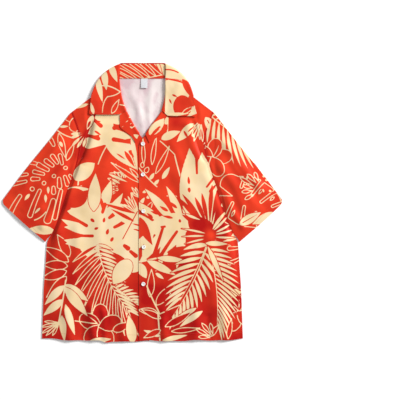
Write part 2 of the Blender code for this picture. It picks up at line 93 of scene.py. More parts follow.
# Collar's fall, one row for each rib from its roll (rim) to its free edge: bulge bows the rib outwards,
# turn is 0 below the back and 1 over the front, roll is the height of the rolled edge, crest its width.
FALL_ROWS = {
    "right": (  # rim x, y | edge x, y | bulge | turn | roll | crest
        (-27.6, TOP, -27.6, FALL_EDGE, 0, 0, 0, 3),
        (-47, TOP, -59.5, FALL_EDGE, 0, 0, 0, 3),
        (-57, TOP - 0.2, -91.4, FALL_EDGE - 1, 0, 0, 0, 3),
        (-61.5, TOP - 0.6, -113, 353, 3, 0, 0, 3),
        (-62.6, TOP - 1, -130.5, 330, 9, 0, 0, 3),
        (-63.2, TOP - 1.5, -142, 317, 13, 0, 0, 3),
        (-63.8, TOP - 1.9, -145.5, 313.5, 16, 0.12, 0, 3),
        (-64.2, TOP - 2.6, -147, 311, 16.5, 0.5, 0, 3),
        (-64.6, TOP - 3.8, -147.8, 308, 16, 0.88, 1.2, 3),
        (-65, TOP - 6.5, -148.6, 302, 13.5, 1, 1.6, 3),
        (-65.6, TOP - 13, -149.5, 291, 10, 1, 2.2, 3),
        (-66.3, 374, -150.5, 274.8, 6, 1, 2.4, 3),
        (-66.4, 356, -153.4, 255.1, 1, 1, 2.6, 3),
        (-64.6, 337, -135, 252.7, 0, 1, 2.8, 3),
        (-62.3, 320, -115, 252.4, 0, 1, 2.8, 3),
        (-58.3, 300, -96, 252.5, 0, 1, 2.8, 3),
        (-52.8, 281, -79, 252.8, 0, 1, 2.6, 3),
        (-45.8, 264.6, -65.8, 253.4, 0, 1, 2.4, 3),
    ),
    "left": (
        (-27.6, TOP, -27.6, FALL_EDGE, 0, 0, 0, 3),
        (-47, TOP, -59.5, FALL_EDGE, 0, 0, 0, 3),
        (-58, TOP - 0.2, -91.4, FALL_EDGE - 1, 0, 0, 0, 3),
        (-63, TOP - 0.6, -113, 353, 3, 0, 0, 3),
        (-64.4, TOP - 1, -130.5, 330, 9, 0, 0, 3),
        (-65, TOP - 1.5, -142, 317, 13, 0, 0, 3),
        (-65.6, TOP - 1.9, -145.5, 313.5, 16, 0.12, 0, 3),
        (-66, TOP - 2.6, -147, 311, 16.5, 0.5, 0, 3),
        (-66.3, TOP - 3.8, -147.8, 308, 16, 0.88, 1.2, 3),
        (-66.5, TOP - 6.5, -148.6, 302, 13.5, 1, 1.6, 3),
        (-66.7, TOP - 13, -149.5, 291, 10, 1, 2.2, 3),
        (-66.7, 374, -152, 273, 6, 1, 2.4, 3),
        (-66.4, 356, -158, 247.5, 1, 1, 2.6, 3),
        (-66.1, 337, -138, 248.2, 0, 1, 2.8, 3),
        (-65.6, 320, -118, 248.2, 0, 1, 2.8, 4),
        (-64.1, 301, -101, 248.4, 0, 1, 2.8, 6),
        (-60.2, 282, -85, 248.6, 0, 1, 2.6, 9),
        (-55.4, 264.8, -73, 249.4, 0, 1, 2.4, 9),
    ),
}
# Turned-out facing, one row for each rib from the rolled front edge to the facing's outer edge.
LAPEL_ROWS = {
    "right": (  # rim x, y | edge x, y
        (-45.4, 263.0, -65.6, 251.6), (-39.2, 251, -65.3, 234.2), (-31.6, 237, -63.8, 215.6),
        (-23.8, 222.6, -49.3, 203.4), (-16, 209.5, -33.4, 190.7), (-7.8, 198.5, -20.3, 171.8),
    ),
    "left": (
        (-54.9, 263.2, -72.8, 247.4), (-46.4, 249.5, -72.2, 231.3), (-37.7, 237.7, -71.6, 207.5),
        (-28.4, 225.5, -52.2, 193), (-18.9, 212.1, -34.8, 181.1), (-8.4, 197.3, -20.3, 170.4),
    ),
}
# Folds of the cloth, in the shirt's own plan: from x, y to x, y, bowed sideways by sag, with half-width
# and height. A height below zero is a trough.
FRONT_FOLDS = (  # x0, y0 | x1, y1 | sag | half-width | height
    (-126, 250, -170, 105, 6, 13, 2.6), (-170, 105, -252, -98, -4, 13, 2.6),  # ridge beside the right armhole
    (126, 246, 170, 105, -6, 13, 2.6), (170, 105, 252, -98, 4, 13, 2.6),  # ridge beside the left armhole
    (-140, 262, -184, 118, 7, 7, -3.0), (140, 262, 184, 118, -7, 7, -3.0),  # ditch from collar to armhole
    (-225, -300, -205, -410, 4, 15, 1.6), (-138, -300, -132, -412, -5, 15, 2.4),
    (-112, -330, -106, -412, 3, 9, -1.4), (-62, -310, -55, -410, 6, 16, 1.6),
    (58, -330, 66, -410, -4, 14, 1.8), (140, -300, 150, -410, 5, 17, 2.0), (228, -310, 238, -410, 4, 13, 1.6),
    (-215, -150, -262, -330, -8, 20, 1.4), (215, -150, 262, -330, 8, 20, 1.4),
    (-60, 120, -175, -40, -12, 18, 1.0), (70, 110, 180, -60, 12, 18, 1.0),
)
SLEEVE_FOLDS = (
    (-232, 205, -372, 10, 10, 20, 1.8), (-215, 120, -330, -35, -8, 16, 1.5),
    (-232, 20, -300, -80, 4, 12, 1.2), (-205, 200, -222, 60, 6, 10, -1.0),
)

# ---- soft creases of the dressed cloth ----
# from x, y to x, y, bowed sideways by sag, with half-width and height
DRAPES = (
    (-146, 240, -182, 116, 5, 6, -3.0), (146, 240, 182, 116, -5, 6, -2.0),
    (-92, 214, -146, 20, 10, 22, 1.2), (88, 214, 136, 30, -12, 22, 1.2),
    (-232, -60, -262, -250, -8, 15, 2.8), (232, -60, 262, -250, 8, 16, 2.8),
    (-190, -40, -222, -330, 14, 15, 2.0), (196, -70, 214, -330, -12, 16, 2.2),
    (-130, -20, -150, -240, 18, 24, 1.4), (120, 0, 150, -250, -16, 24, 1.6),
    (-84, 40, -96, -150, -10, 24, 1.0), (-150, -285, -136, -404, -6, 12, 3.6),
    (-118, -300, -108, -404, 4, 9, 3.4), (-70, -290, -58, -404, 5, 15, 2.6),
    (-232, -300, -212, -404, 6, 14, 2.6), (62, -300, 70, -404, -4, 13, 2.8),
    (150, -290, 158, -404, 6, 15, 3.0), (232, -300, 240, -404, 4, 12, 3.0),
    (190, -320, 196, -404, -4, 9, -2.0), (-180, -320, -176, -404, 4, 9, -2.0),
    (-60, 120, -110, -120, -16, 14, -1.2), (66, 100, 118, -130, 14, 14, -1.2),
    (170, -120, 96, -200, 8, 12, 1.6), (-176, -150, -92, -236, -8, 12, 1.4),
    (74, 180, 120, 100, 6, 12, 1.2), (176, 104, 256, -98, 3, 14, -1.4), (-70, 176, -112, 96, -6, 11, 1.0),
)
# Lopsided ridges beside the armholes: from x, y to x, y | steep half-width, slow half-width, height
LEDGES = ((-131, 258, -183, 92, 5, 34, 3.6), (-180, 108, -256, -104, 6, 30, 3.8),
          (133, 258, 185, 92, 14, 34, 0.5), (182, 108, 256, -104, 12, 32, 1.0))
SLEEVE_DRAPES = (
    (-224, 196, -352, 30, 8, 14, 3.0), (-214, 120, -300, -34, -8, 13, 2.8), (-236, 40, -296, -84, 5, 10, 2.4),
    (-200, 190, -214, 70, 6, 9, -2.0), (-262, 190, -372, 52, -5, 10, 1.8), (-280, 60, -352, -30, 6, 12, 1.6),
    (-318, 96, -330, 10, 6, 10, -1.2), (-250, 130, -300, 60, 5, 9, 1.4),
)
NECK_DRAPES = ((-40, 330, 6, 190, 8, 9, 2.4), (30, 340, 20, 200, -5, 8, 2.0), (-10, 320, -18, 230, 4, 7, 1.5))
LEAF_DRAPES = (
    (-104, 350, -86, 262, 5, 12, 1.2), (112, 352, 90, 256, -5, 14, 1.4), (-132, 300, -128, 262, 2, 9, 1.0),
)


# ---- curves and fields ----
def smooth(t):
    """Smooth step from 0 at t = 0 to 1 at t = 1: t * t * (3 - 2 t)."""
    t = np.clip(t, 0, 1)
    return t * t * (3 - 2 * t)


def spline(a, b, c, d, s):
    """Catmull-Rom curve: from b at s = 0 to c at s = 1, with a before them and d after."""
    return b + ((c - a) * s + (2 * a - 5 * b + 4 * c - d) * s**2 + (3 * b - a - 3 * c + d) * s**3) / 2


def curve(points, t):
    """Point at t (0 to 1 along its length) on the smooth curve through the points (Catmull-Rom)."""
    p = np.asarray(points, float)
    p = np.vstack((2 * p[0] - p[1], p, 2 * p[-1] - p[-2]))
    s = np.linspace(0, 1, 9)[:-1, None]
    dense = np.vstack([spline(*corners, s) for corners in zip(p, p[1:], p[2:], p[3:])] + [p[-2]])
    run = np.concatenate(([0], np.cumsum(np.hypot(*np.diff(dense, axis=0).T))))
    return np.stack([np.interp(np.asarray(t) * run[-1], run, axis) for axis in dense.T], -1)


def through(values, t):
    """Smooth curve through the entries of an array, at t from 0 at its first to 1 at its last."""
    place = np.asarray(t) * (len(values) - 1)
    i = np.clip(place.astype(int), 0, len(values) - 2)
    f = (place - i).reshape((-1,) + (1,) * (values.ndim - 1))
    p = np.concatenate((2 * values[:1] - values[1:2], values, 2 * values[-1:] - values[-2:-1]))
    return spline(p[i], p[i + 1], p[i + 2], p[i + 3], f)


def joined(t, *stretches):
    """Point at t on several curves end to end, each a pair of its points and the t where it ends."""
    start, out = 0.0, np.zeros((len(t), 2))
    for points, end in stretches:
        here = (t >= start) & (t <= end)
        out[here] = curve(points, (t[here] - start) / (end - start))
        start = end
    return out


def coons(u, v, left, right, bottom, top):
    """Patch between four edge curves: left and right along v, bottom and top along u."""
    ends = np.array((0.0, 1.0))
    low, high = bottom(ends), top(ends)
    between = (1 - v)[:, None] * bottom(u) + v[:, None] * top(u)
    across = (1 - u)[:, None] * left(v) + u[:, None] * right(v)
    u, v = u[:, None], v[:, None]
    corners = (1 - v) * ((1 - u) * low[0] + u * low[1]) + v * ((1 - u) * high[0] + u * high[1])
    return across + between - corners


def distance(xy, path):
    """Shortest distance from each point to an open path, and how far along the path (0 to 1) it is."""
    path = np.asarray(path, float)
    best, along = np.full(len(xy), 1e9), np.zeros(len(xy))
    for n, (a, b) in enumerate(zip(path[:-1], path[1:])):
        span = b - a
        t = np.clip(((xy - a) @ span) / (span @ span), 0, 1)
        off = np.hypot(*(xy - a - t[:, None] * span).T)
        closer = off < best
        best[closer], along[closer] = off[closer], (n + t[closer]) / (len(path) - 1)
    return best, along


def folds(xy, rows):
    """Sum of soft ridges and troughs, each a bell across its bowed line, tapered at both ends."""
    total = np.zeros(len(xy))
    for x0, y0, x1, y1, sag, half_width, height in rows:
        side = np.array((y0 - y1, x1 - x0)) / np.hypot(x1 - x0, y1 - y0)
        middle = np.array(((x0 + x1) / 2, (y0 + y1) / 2)) + side * sag
        path = curve(((x0, y0), middle, (x1, y1)), np.linspace(0, 1, 9))
        near = ((xy > path.min(0) - 3 * half_width) & (xy < path.max(0) + 3 * half_width)).all(1)
        off, along = distance(xy[near], path)
        taper = smooth(along * 6) * smooth((1 - along) * 6 + 0.3)
        total[near] += height * np.exp(-((off / half_width) ** 2)) * taper
    return total


def ledges(xy, rows):
    """Sum of lopsided ridges: steep on the side away from the shirt's middle, slow on the other."""
    total = np.zeros(len(xy))
    for x0, y0, x1, y1, steep, slow, height in rows:
        length = np.hypot(x1 - x0, y1 - y0)
        ahead = np.array((x1 - x0, y1 - y0)) / length
        rel = xy - (x0, y0)
        off = (rel[:, 0] * ahead[1] - rel[:, 1] * ahead[0]) * np.sign(x0)
        along = rel @ ahead / length
        taper = smooth(along * 5 + 0.6) * smooth((1 - along) * 5 + 0.6)
        total += height * np.exp(-((off / np.where(off < 0, steep, slow)) ** 2)) * taper
    return total


def ripple(xy, seed, size, height):
    """Slow unevenness of cloth: eight sine waves of wavelengths near size in scattered directions."""
    draw = np.random.default_rng(seed)
    total = np.zeros(len(xy))
    for way, stretch, phase in draw.random((8, 3)):
        along = xy @ np.array((np.cos(way * np.pi), np.sin(way * np.pi)))
        total += np.sin(along * 2 * np.pi / (size * (0.6 + 0.9 * stretch)) + phase * 6.3)
    return total * height / 8**0.5


FALL_PATH = [(0, FALL_EDGE)] + [row[2:4] for row in FALL_ROWS["right"][:8]]


def lift(xy):
    """How far the fall of the collar holds the back off the table."""
    half = np.column_stack((-np.abs(xy[:, 0]), xy[:, 1]))
    edge_x, edge_y = np.array(FALL_PATH).T
    inside = (half[:, 1] > np.interp(-half[:, 0], -edge_x, edge_y)) & (half[:, 0] > edge_x[-1])
    off = np.where(inside, 0, distance(half, FALL_PATH)[0])
    return LAYER * (1 - smooth((off - LIFT_REST) / LIFT_SLOPE))


def above_back(xy):
    """Underside of what lies on the back, a little clearer of it where the back slopes."""
    raised = lift(xy)
    slope = 4 * (raised / LAYER) * (1 - raised / LAYER)
    return raised + LAYER + SLOPE_EASE * slope


def under_collar(xy):
    """1 where the collar's leaves press the fronts flat, 0 away from them."""
    foot, reach = 222, 170  # lowest Y and greatest X that the leaves press on
    return smooth((xy[:, 1] - foot) / 22) * smooth((reach - np.abs(xy[:, 0])) / 14)


def mirrored(points, side):
    """Points of the right half, or their mirror image for the left half."""
    flip = -1 if side == "left" else 1
    return np.asarray(points, float) * (flip, 1)


def outer_edge(v, side):
    """Side seam up to the underarm, then the armhole up to the shoulder."""
    return joined(v, (mirrored(SIDE, side), UNDERARM_ROW), (mirrored(ARMHOLE, side), 1))


def hem_line(x):
    """Hem's Y, higher at the side seams."""
    return HEM + (SIDE[0][1] - HEM) * (x / SIDE[0][0]) ** 2


def hem_wave(x):
    """Unevenness of the laid hem: a slow wave and one small dip at the wearer's right."""
    return 1.3 * np.sin(x / 23 + 1) + 0.9 * np.sin(x / 11) - 5.5 * np.exp(-(((x + 106) / 13) ** 2))


def over_stand(xy):
    """Rise of the left front where it laps over the right one."""
    return LAYER * (1 - smooth((xy[:, 0] - UNDERLAP - STAND_REST) / STAND_SLOPE))


def front_underside(xy, off_side, off_shoulder, on_side):
    """Underside of a front: on the back, eased off it, with its folds; off_ are distances to its seams."""
    loose = smooth((np.abs(xy[:, 0] - 4) - 26) / 34)  # 0 on the button stand, which lies flat
    free = smooth(off_side / 16)
    creases = folds(xy, DRAPES) + ledges(xy, LEDGES) + ripple(xy, seed=3, size=70, height=0.3)
    ease = BODICE_EASE * smooth(off_side / 45) + folds(xy, FRONT_FOLDS) * free
    ease += loose * (CREASE_EASE * smooth(off_side / 60) + creases * free)
    ease = np.maximum(ease, 0) * smooth(off_shoulder / 30) * (1 - under_collar(xy))
    seam = SEAM_EASE * (1 - on_side) * smooth(off_shoulder / 20) * (1 - smooth(off_side / 30))
    return above_back(xy) + ease + seam


# ---- motifs of the print: layers (kind, strokes, cuts), a stroke an array of x, y and half-width ----
CREAM, JOIN, LINE, RED = "cream", "join", "line", "red"
LINE_WIDTH = 2.4  # width of a drawn line
MARGIN = 2.2  # red margin round a cream shape
FAR = 40.0  # value of the field away from every edge
NEAR = 8.0  # how far round a stroke the field is worked out
TINY = 1e-6  # least length that is divided by


def towards(way):
    """Unit step in a direction given in radians."""
    return np.array((np.cos(way), np.sin(way)))


def ray(start, way, length, half, bend=0.0, steps=9, lens=0.8):
    """Stroke from start along way (radians), bowed to one side, half-width a lens: sin(pi t^lens)."""
    t = np.linspace(0, 1, steps)
    ahead, side = towards(way), np.array((-np.sin(way), np.cos(way)))
    line = np.asarray(start, float) + length * (t[:, None] * ahead + (bend * t * t)[:, None] * side)
    return np.column_stack((line, half * np.sin(np.pi * np.clip(t, 0.02, 1) ** lens) + 0.05))


def spine(length, bend, share):
    """Point at a share of a bent stem from the origin along +X."""
    return np.array((length * share, bend * length * share**2))


def midrib(length, bend, t, half, reach=1.0):
    """Stroke along a bent stem from the origin along +X, with its half-width at each t."""
    return np.column_stack((length * t * reach, bend * length * t * t, half))


def leaf(length, width, bend=0):
    """One pointed leaf."""
    return [("shape", [ray((0, 0), 0, length, width / 2, bend, 16, 0.72)], [])]


def veined(length, width, bend=0):
    """Leaf split by a thin vein."""
    whole = leaf(length, width, bend)
    vein = whole[0][1][0][2:13].copy()
    vein[:, 2] = np.linspace(1.5, 0.6, len(vein))
    return whole + [("vein", [vein], [])]


def spray(length, width, count, bend=0):
    """Leaves in pairs up a stem, the last at its tip: each starts on the stem and leans towards the tip."""
    t = np.linspace(0, 1, 12)
    stalk = midrib(length, bend, t, 1.4 + 0 * t)
    leaves = [("stroke", [stalk], [])]
    for k in range(count):
        share = (k + 0.3) / count
        lean, heading = 0.8 - 0.35 * share, 2 * bend * share
        reach = width * (0.75 + 0.45 * np.sin(np.pi * (0.15 + 0.6 * share)))
        for side in (-1, 1):
            root = spine(length, bend, share + 0.04 * side)
            blade = ray(root, heading + side * lean, reach, reach * 0.145, -side * 0.12, 12, 0.78)
            leaves.append(("shape", [blade], []))
    tip = ray(stalk[-1, :2], 2 * bend, width * 0.9, width * 0.12, 0, 12, 0.75)
    return leaves + [("shape", [tip], [])]


def comb(length, width, count, bend=0):
    """Half of a frond: count narrow leaflets up one side of a rib, the left side where width is above 0."""
    t = np.linspace(0, 1, 14)
    side = np.sign(width)
    leaflets = []
    for k in range(count):
        share = (k + 0.3) / count
        lean = 1.25 - 0.85 * share
        reach = abs(width) * (0.45 + 0.6 * np.sin(np.pi * (0.14 + 0.74 * share)) ** 1.1)
        half = min(0.31 * length / count * np.sin(lean) ** 0.5, reach * 0.12) + 0.3
        way = 2 * bend * share + side * lean
        leaflets.append(ray(spine(length, bend, share), way, reach, half, -side * 0.13, 9, 0.8))
    return [("each", leaflets, []), ("stroke", [midrib(length, bend, t, 1.7 - t)], [])]


def palm(length, width, count, bend=0):
    """Frond: a comb of leaflets on each side of a rib, and one at its tip."""
    (_, left, _), rib = comb(length, width, count, bend)
    right = comb(length, -width, count, bend)[0][1]
    tip = ray(spine(length, bend, 1), 2 * bend, abs(width) * 0.45, 2.0, 0)
    return [("each", left + right + [tip], []), rib]


def monstera(length, width, count, bend=0):
    """Split leaf: a heart shape round a midrib, notched at its foot, with count slots cut in from the rim on
    each side that open as they reach it, and a short hole between each two."""
    t = np.linspace(0, 1, 12)
    profile = np.interp(t, (0, 0.15, 0.35, 0.6, 0.8, 1), (0.3, 0.44, 0.5, 0.44, 0.3, 0.1))
    lobes = [midrib(length, bend, t, width * profile, 0.92)]
    notch = ray((-0.4 * width, 0), 0, 0.4 * width, 1, 0, 6)
    notch[:, 2] = np.linspace(0.13 * width, 0.5, 6)
    cuts = [notch]
    s = np.linspace(0, 1, 8)
    for side in (-1, 1):
        lobes.append(ray((0.1 * length, 0), side * 2.25, 0.46 * width, 0.25 * width, side * 0.2, 9, 0.8))
        for k in range(count):
            share = (k + 0.35 + 0.12 * side) / count
            way = side * (1.75 - 1.15 * share) + 2 * bend * share
            reach = 0.62 * width * (1 - 0.35 * share)
            depth = 0.3 + 0.1 * np.sin(5 * k + side)
            root = spine(length, bend, 0.02 + 0.8 * share) + depth * reach * towards(way)
            cut = ray(root, way, reach * (1.3 - depth), 1, -side * 0.1, 8)
            cut[:, 2] = (0.018 * width + 1.2) * (1 + 0.4 * np.sin(3 * s + k) * s + 2.2 * s**3)
            cuts.append(cut)
            spot = spine(length, bend, 0.02 + 0.8 * share + 0.4 / count) + 0.42 * reach * towards(way)
            cuts.append(ray(spot, way, 0.22 * reach, 0.012 * width + 1.4, 0, 6, 1))
    return [("shape", lobes, cuts)]


def split(length, width, count, bend=0):
    """Split leaf of count pointed lobes a side, fanned from square to the midrib to forward at the tip."""
    t = np.linspace(0, 1, 12)
    lobes = [midrib(length, bend, t, 0.13 * width * np.sin(np.pi * (0.2 + 0.7 * t)) + 1, 0.8)]
    for k in range(count):
        share = (k + 0.3) / count
        reach = width * 0.5 * (0.85 + 0.35 * np.sin(np.pi * (0.1 + 0.85 * share)))
        for side in (-1, 1):
            way = side * (1.5 - 1.05 * share) + 2 * bend * share
            far = reach * (1 + 0.08 * np.sin(7 * k + 2 * side))
            half = 0.36 * length / count * (1 + 0.1 * np.sin(3 * k + side))
            lobes.append(ray(spine(length, bend, 0.05 + 0.72 * share), way, far, half, -side * 0.12, 12, 0.9))
    lobes.append(ray(spine(length, bend, 0.6), 2 * bend, length * 0.45, 0.3 * length / count + 1, 0, 10, 0.8))
    return [("shape", lobes, [])]


def slot(length, width, bend=0):
    """Round-ended bar, a little fatter at its far end."""
    bar = ray((width / 2, 0), 0, length - width, 1, bend, 9)
    bar[:, 2] = width / 2 * np.linspace(0.72, 1, 9)
    return [("shape", [bar], [])]


def slits(length, width, count, bend=0):
    """Split leaf drawn by its slots alone: long bars in a ring round a midrib, a few round holes inside."""
    bars = []
    for k in range(count):
        share = (k + 0.5) / count
        root = spine(length, bend, 0.1 + 0.75 * share)
        for side in (-1, 1):
            way = side * (2.1 - 1.75 * share) + 2 * bend * share
            reach = width * 0.5 * (0.9 + 0.2 * np.sin(4.1 * k + 2 * side))
            far = (0.4 + 0.1 * np.sin(2.3 * k)) * reach
            bar = ray(root + 0.46 * reach * towards(way), way, far, 1, -side * 0.1, 8)
            bar[:, 2] = (0.018 * width + 2.4) * np.linspace(0.75, 1.2, 8)
            bars.append(bar)
            if (k + side) % 3:
                bars.append(ray(root + 0.18 * reach * towards(way), way, 5, 3.6, 0, 5, 1))
    return [("each", bars, [])]


def fan(length, width, count, open_share=0):
    """Strokes that radiate from a centre over width degrees, from a share of their length outwards."""
    draw = np.random.default_rng(int(length * 7 + count))
    ways = np.radians(np.linspace(-0.5, 0.5, count) * width) + draw.normal(0, 0.03, count)
    reach = length * (0.78 + 0.3 * draw.random(count)) * (0.8 + 0.2 * np.cos(np.linspace(-1.3, 1.3, count)))
    half = min(0.24 * np.radians(width) * length / count, 0.09 * length) + 0.5
    inner = open_share * length
    return [("each", [ray(inner * towards(way), way, end - inner, half, draw.normal(0, 0.04), 10, 1.5)
                      for way, end in zip(ways, reach)], [])]


def flower(length, width, count, turn=0):
    """Broad overlapping petals round a centre, with a stamen; width is the petal's, length the radius."""
    petals = []
    for k in range(count):
        petal = ray((0, 0), 2 * np.pi * k / count + 0.3 * turn, length, 1, 0.06 * (-1) ** k, 9)
        petal[:, 2] = width / 2 * np.array((0.2, 0.4, 0.62, 0.84, 1.0, 1.02, 0.9, 0.6, 0.18))
        petals.append(("shape", [petal], []))
    return petals + [("stroke", [ray((0, 0), 0.6 + turn, length * 0.8, 1.4, 0.2, 9, 1)], [])]


def dots(length, width, count):
    """Small drops scattered over an oval, each pointing away from its foot."""
    draw = np.random.default_rng(int(length + 31 * width + count))
    drops = []
    for k in range(count):
        share, across, tilt = (k + 0.5) / count, draw.uniform(-0.5, 0.5), draw.normal(0, 0.5)
        root = (length * share, width * across)
        drops.append(ray(root, tilt + across, 7 + 6 * draw.random(), 2.6 + 1.4 * draw.random(), 0, 5, 1))
    return [("each", drops, [])]


def stem(length, width, bend=0):
    """Thin bent line of the given width."""
    line = ray((0, 0), 0, length, 1, bend, 12)
    line[:, 2] = width / 2
    return [("stroke", [line], [])]


# ---- the print: motifs in the order that they are laid ----
# A row is one kind in one paint, laid at one or more places: x, y of its foot, angle from +X, length, width,
# then what else the kind's function takes.
# Paint: CREAM with a red margin, JOIN for cream without one, LINE for the outline drawn in cream, RED.
# Wearer's right front, from the chest down: cut leaf, drawn fronds, split leaf, sprays at the hem.
FRONT_RIGHT_PRINT = (
    (leaf, CREAM, (-32, 191, -80, 104, 13)),
    (slot, CREAM, (-103, 283, -90, 119, 44)),
    (slot, JOIN, (-103, 237, 156, 52, 29), (-103, 205, 180, 61, 29), (-97, 179, 189, 75, 33),
     (-103, 240, 2, 49, 35), (-103, 220, 178, 55, 26)),
    (leaf, JOIN, (-109, 201, -11, 84, 28), (-103, 182, -21, 84, 41), (-106, 188, -45, 130, 46, -0.03)),
    (slot, RED, (-146, 243, -42, 41, 12)),
    (leaf, RED, (-138, 205, -33, 23, 6.4)),
    (slot, RED, (-164, 194, -17, 44, 12), (-54, 223, 199, 35, 13), (-32, 171, 168, 58, 13, 0.03)),
    (leaf, RED, (-75, 140, -34, 35, 4.6), (-51, 146, -58, 55, 12), (-40, 148, -50, 26, 7.5)),
    # painted shade: this red line follows the fold from the collar to the armhole, where the fold lies in
    # shade
    (stem, RED, (-138, 254, -113, 128, 8)),
    (fan, LINE, (-48, 46, 150, 58, 118, 10, 0.42)),
    (fan, CREAM, (-45, 37, 172, 64, 44, 5, 0.5)),
    (stem, CREAM, (-94, 83, 4, 35, 2.6), (-59, 86, 128, 29, 2.6)),
    (leaf, CREAM, (-97, 80, -23, 61, 7), (-88, 66, -30, 29, 6.4)),
    (leaf, LINE, (-10, 57, 145, 99, 13), (-13, 72, 133, 35, 9)),
    (fan, LINE, (-7, 11, 130, 41, 36, 3)),
    (stem, RED, (-161, 278, -103, 133, 35)),
    (leaf, CREAM, (-144, 249, -112, 44, 17)),
    (leaf, RED, (-151, 234, -112, 23, 7.5)),
    (leaf, CREAM, (-170, 307, -140, 35, 9), (-158, 283, -165, 38, 9, 0.1)),
    (fan, CREAM, (-161, 202, 222, 61, 70, 5, 0.25)),
    (stem, CREAM, (-103, 162, -122, 58, 3.2, 0.12)),
    (leaf, CREAM, (-193, 69, 40, 70, 44, -0.04)),
    (stem, CREAM, (-184, 69, -95, 26, 4.1)),
    (leaf, CREAM, (-222, 20, 24, 55, 20, 0.1)),
    (leaf, LINE, (-213, -157, 112, 70, 26, 0.1), (-216, -172, 142, 81, 26, 0.15),
     (-219, -186, 172, 70, 26, 0.1), (-222, -201, 202, 75, 26, -0.1), (-222, -218, 232, 81, 26, -0.1)),
    (split, CREAM, (-115, -143, 97, 162, 203, 4, 0.02)),
    (leaf, JOIN, (-126, -157, 160, 58, 26), (-120, -44, 170, 99, 55), (-117, -79, 177, 110, 38),
     (-117, -114, 184, 107, 35)),
    (slot, RED, (-222, -33, -31, 75, 10), (-204, -98, -1, 64, 9)),
    (leaf, JOIN, (-16, -183, 121, 197, 133), (-22, -134, 104, 104, 64)),
    (slot, RED, (-117, -36, 74, 35, 12), (-100, -50, 38, 26, 12), (-86, -76, 24, 44, 12, 0.1),
     (-57, -123, -38, 26, 14), (-39, -140, -40, 32, 13)),
    (leaf, RED, (-112, -59, 80, 14, 8), (-103, -94, 75, 17, 9), (-91, -114, 60, 14, 9),
     (-149, -50, -40, 14, 9), (-138, -79, 20, 12, 7.5)),
    (leaf, CREAM, (-225, 31, 12, 75, 17, -0.15)),
    (leaf, RED, (-222, 11, 0, 61, 58)),
    (leaf, CREAM, (-141, -24, 87, 107, 36)),
    (leaf, RED, (-120, 11, -80, 41, 9)),
    (leaf, JOIN, (-7, -59, 150, 110, 49)),
    (fan, LINE, (-10, -41, 127, 72, 44, 6)),
    (stem, RED, (-57, -108, 62, 90, 2.9)),
    (leaf, RED, (-22, -33, 163, 102, 10), (-25, -56, 152, 78, 10), (-4, -70, 165, 29, 4.6),
     (-4, -85, 165, 26, 4.6), (-36, -198, 147, 110, 41), (-94, -175, 200, 133, 64)),
    (comb, LINE, (-129, -120, -84, 209, -122, 12, 0.34)),
    (comb, CREAM, (-129, -120, -84, 209, 64, 17, 0.34), (-80, -247, -38, 87, 38, 8)),
    (leaf, CREAM, (-39, -175, 232, 78, 49, 0.05)),
    (flower, LINE, (-123, -360, 82, 58, 44, 5, 0.2)),
    (stem, CREAM, (-132, -352, 176, 70, 3.2, -0.05)),
    (leaf, CREAM, (-228, -244, 222, 78, 23, 0.05), (-231, -285, 216, 72, 23, 0.05),
     (-222, -241, -33, 81, 26, -0.05), (-222, -250, -52, 104, 29), (-222, -299, -73, 93, 20),
     (-233, -331, -84, 75, 20)),
    (fan, LINE, (-239, -349, 210, 58, 60, 5, 0.1)),
    (stem, CREAM, (-222, -227, -97, 139, 3.8, -0.05)),
    (leaf, LINE, (-83, -372, 20, 52, 23, 0.1)),
    (leaf, CREAM, (-28, -407, 96, 81, 29, 0.05), (-152, -404, 6, 64, 17)),
)
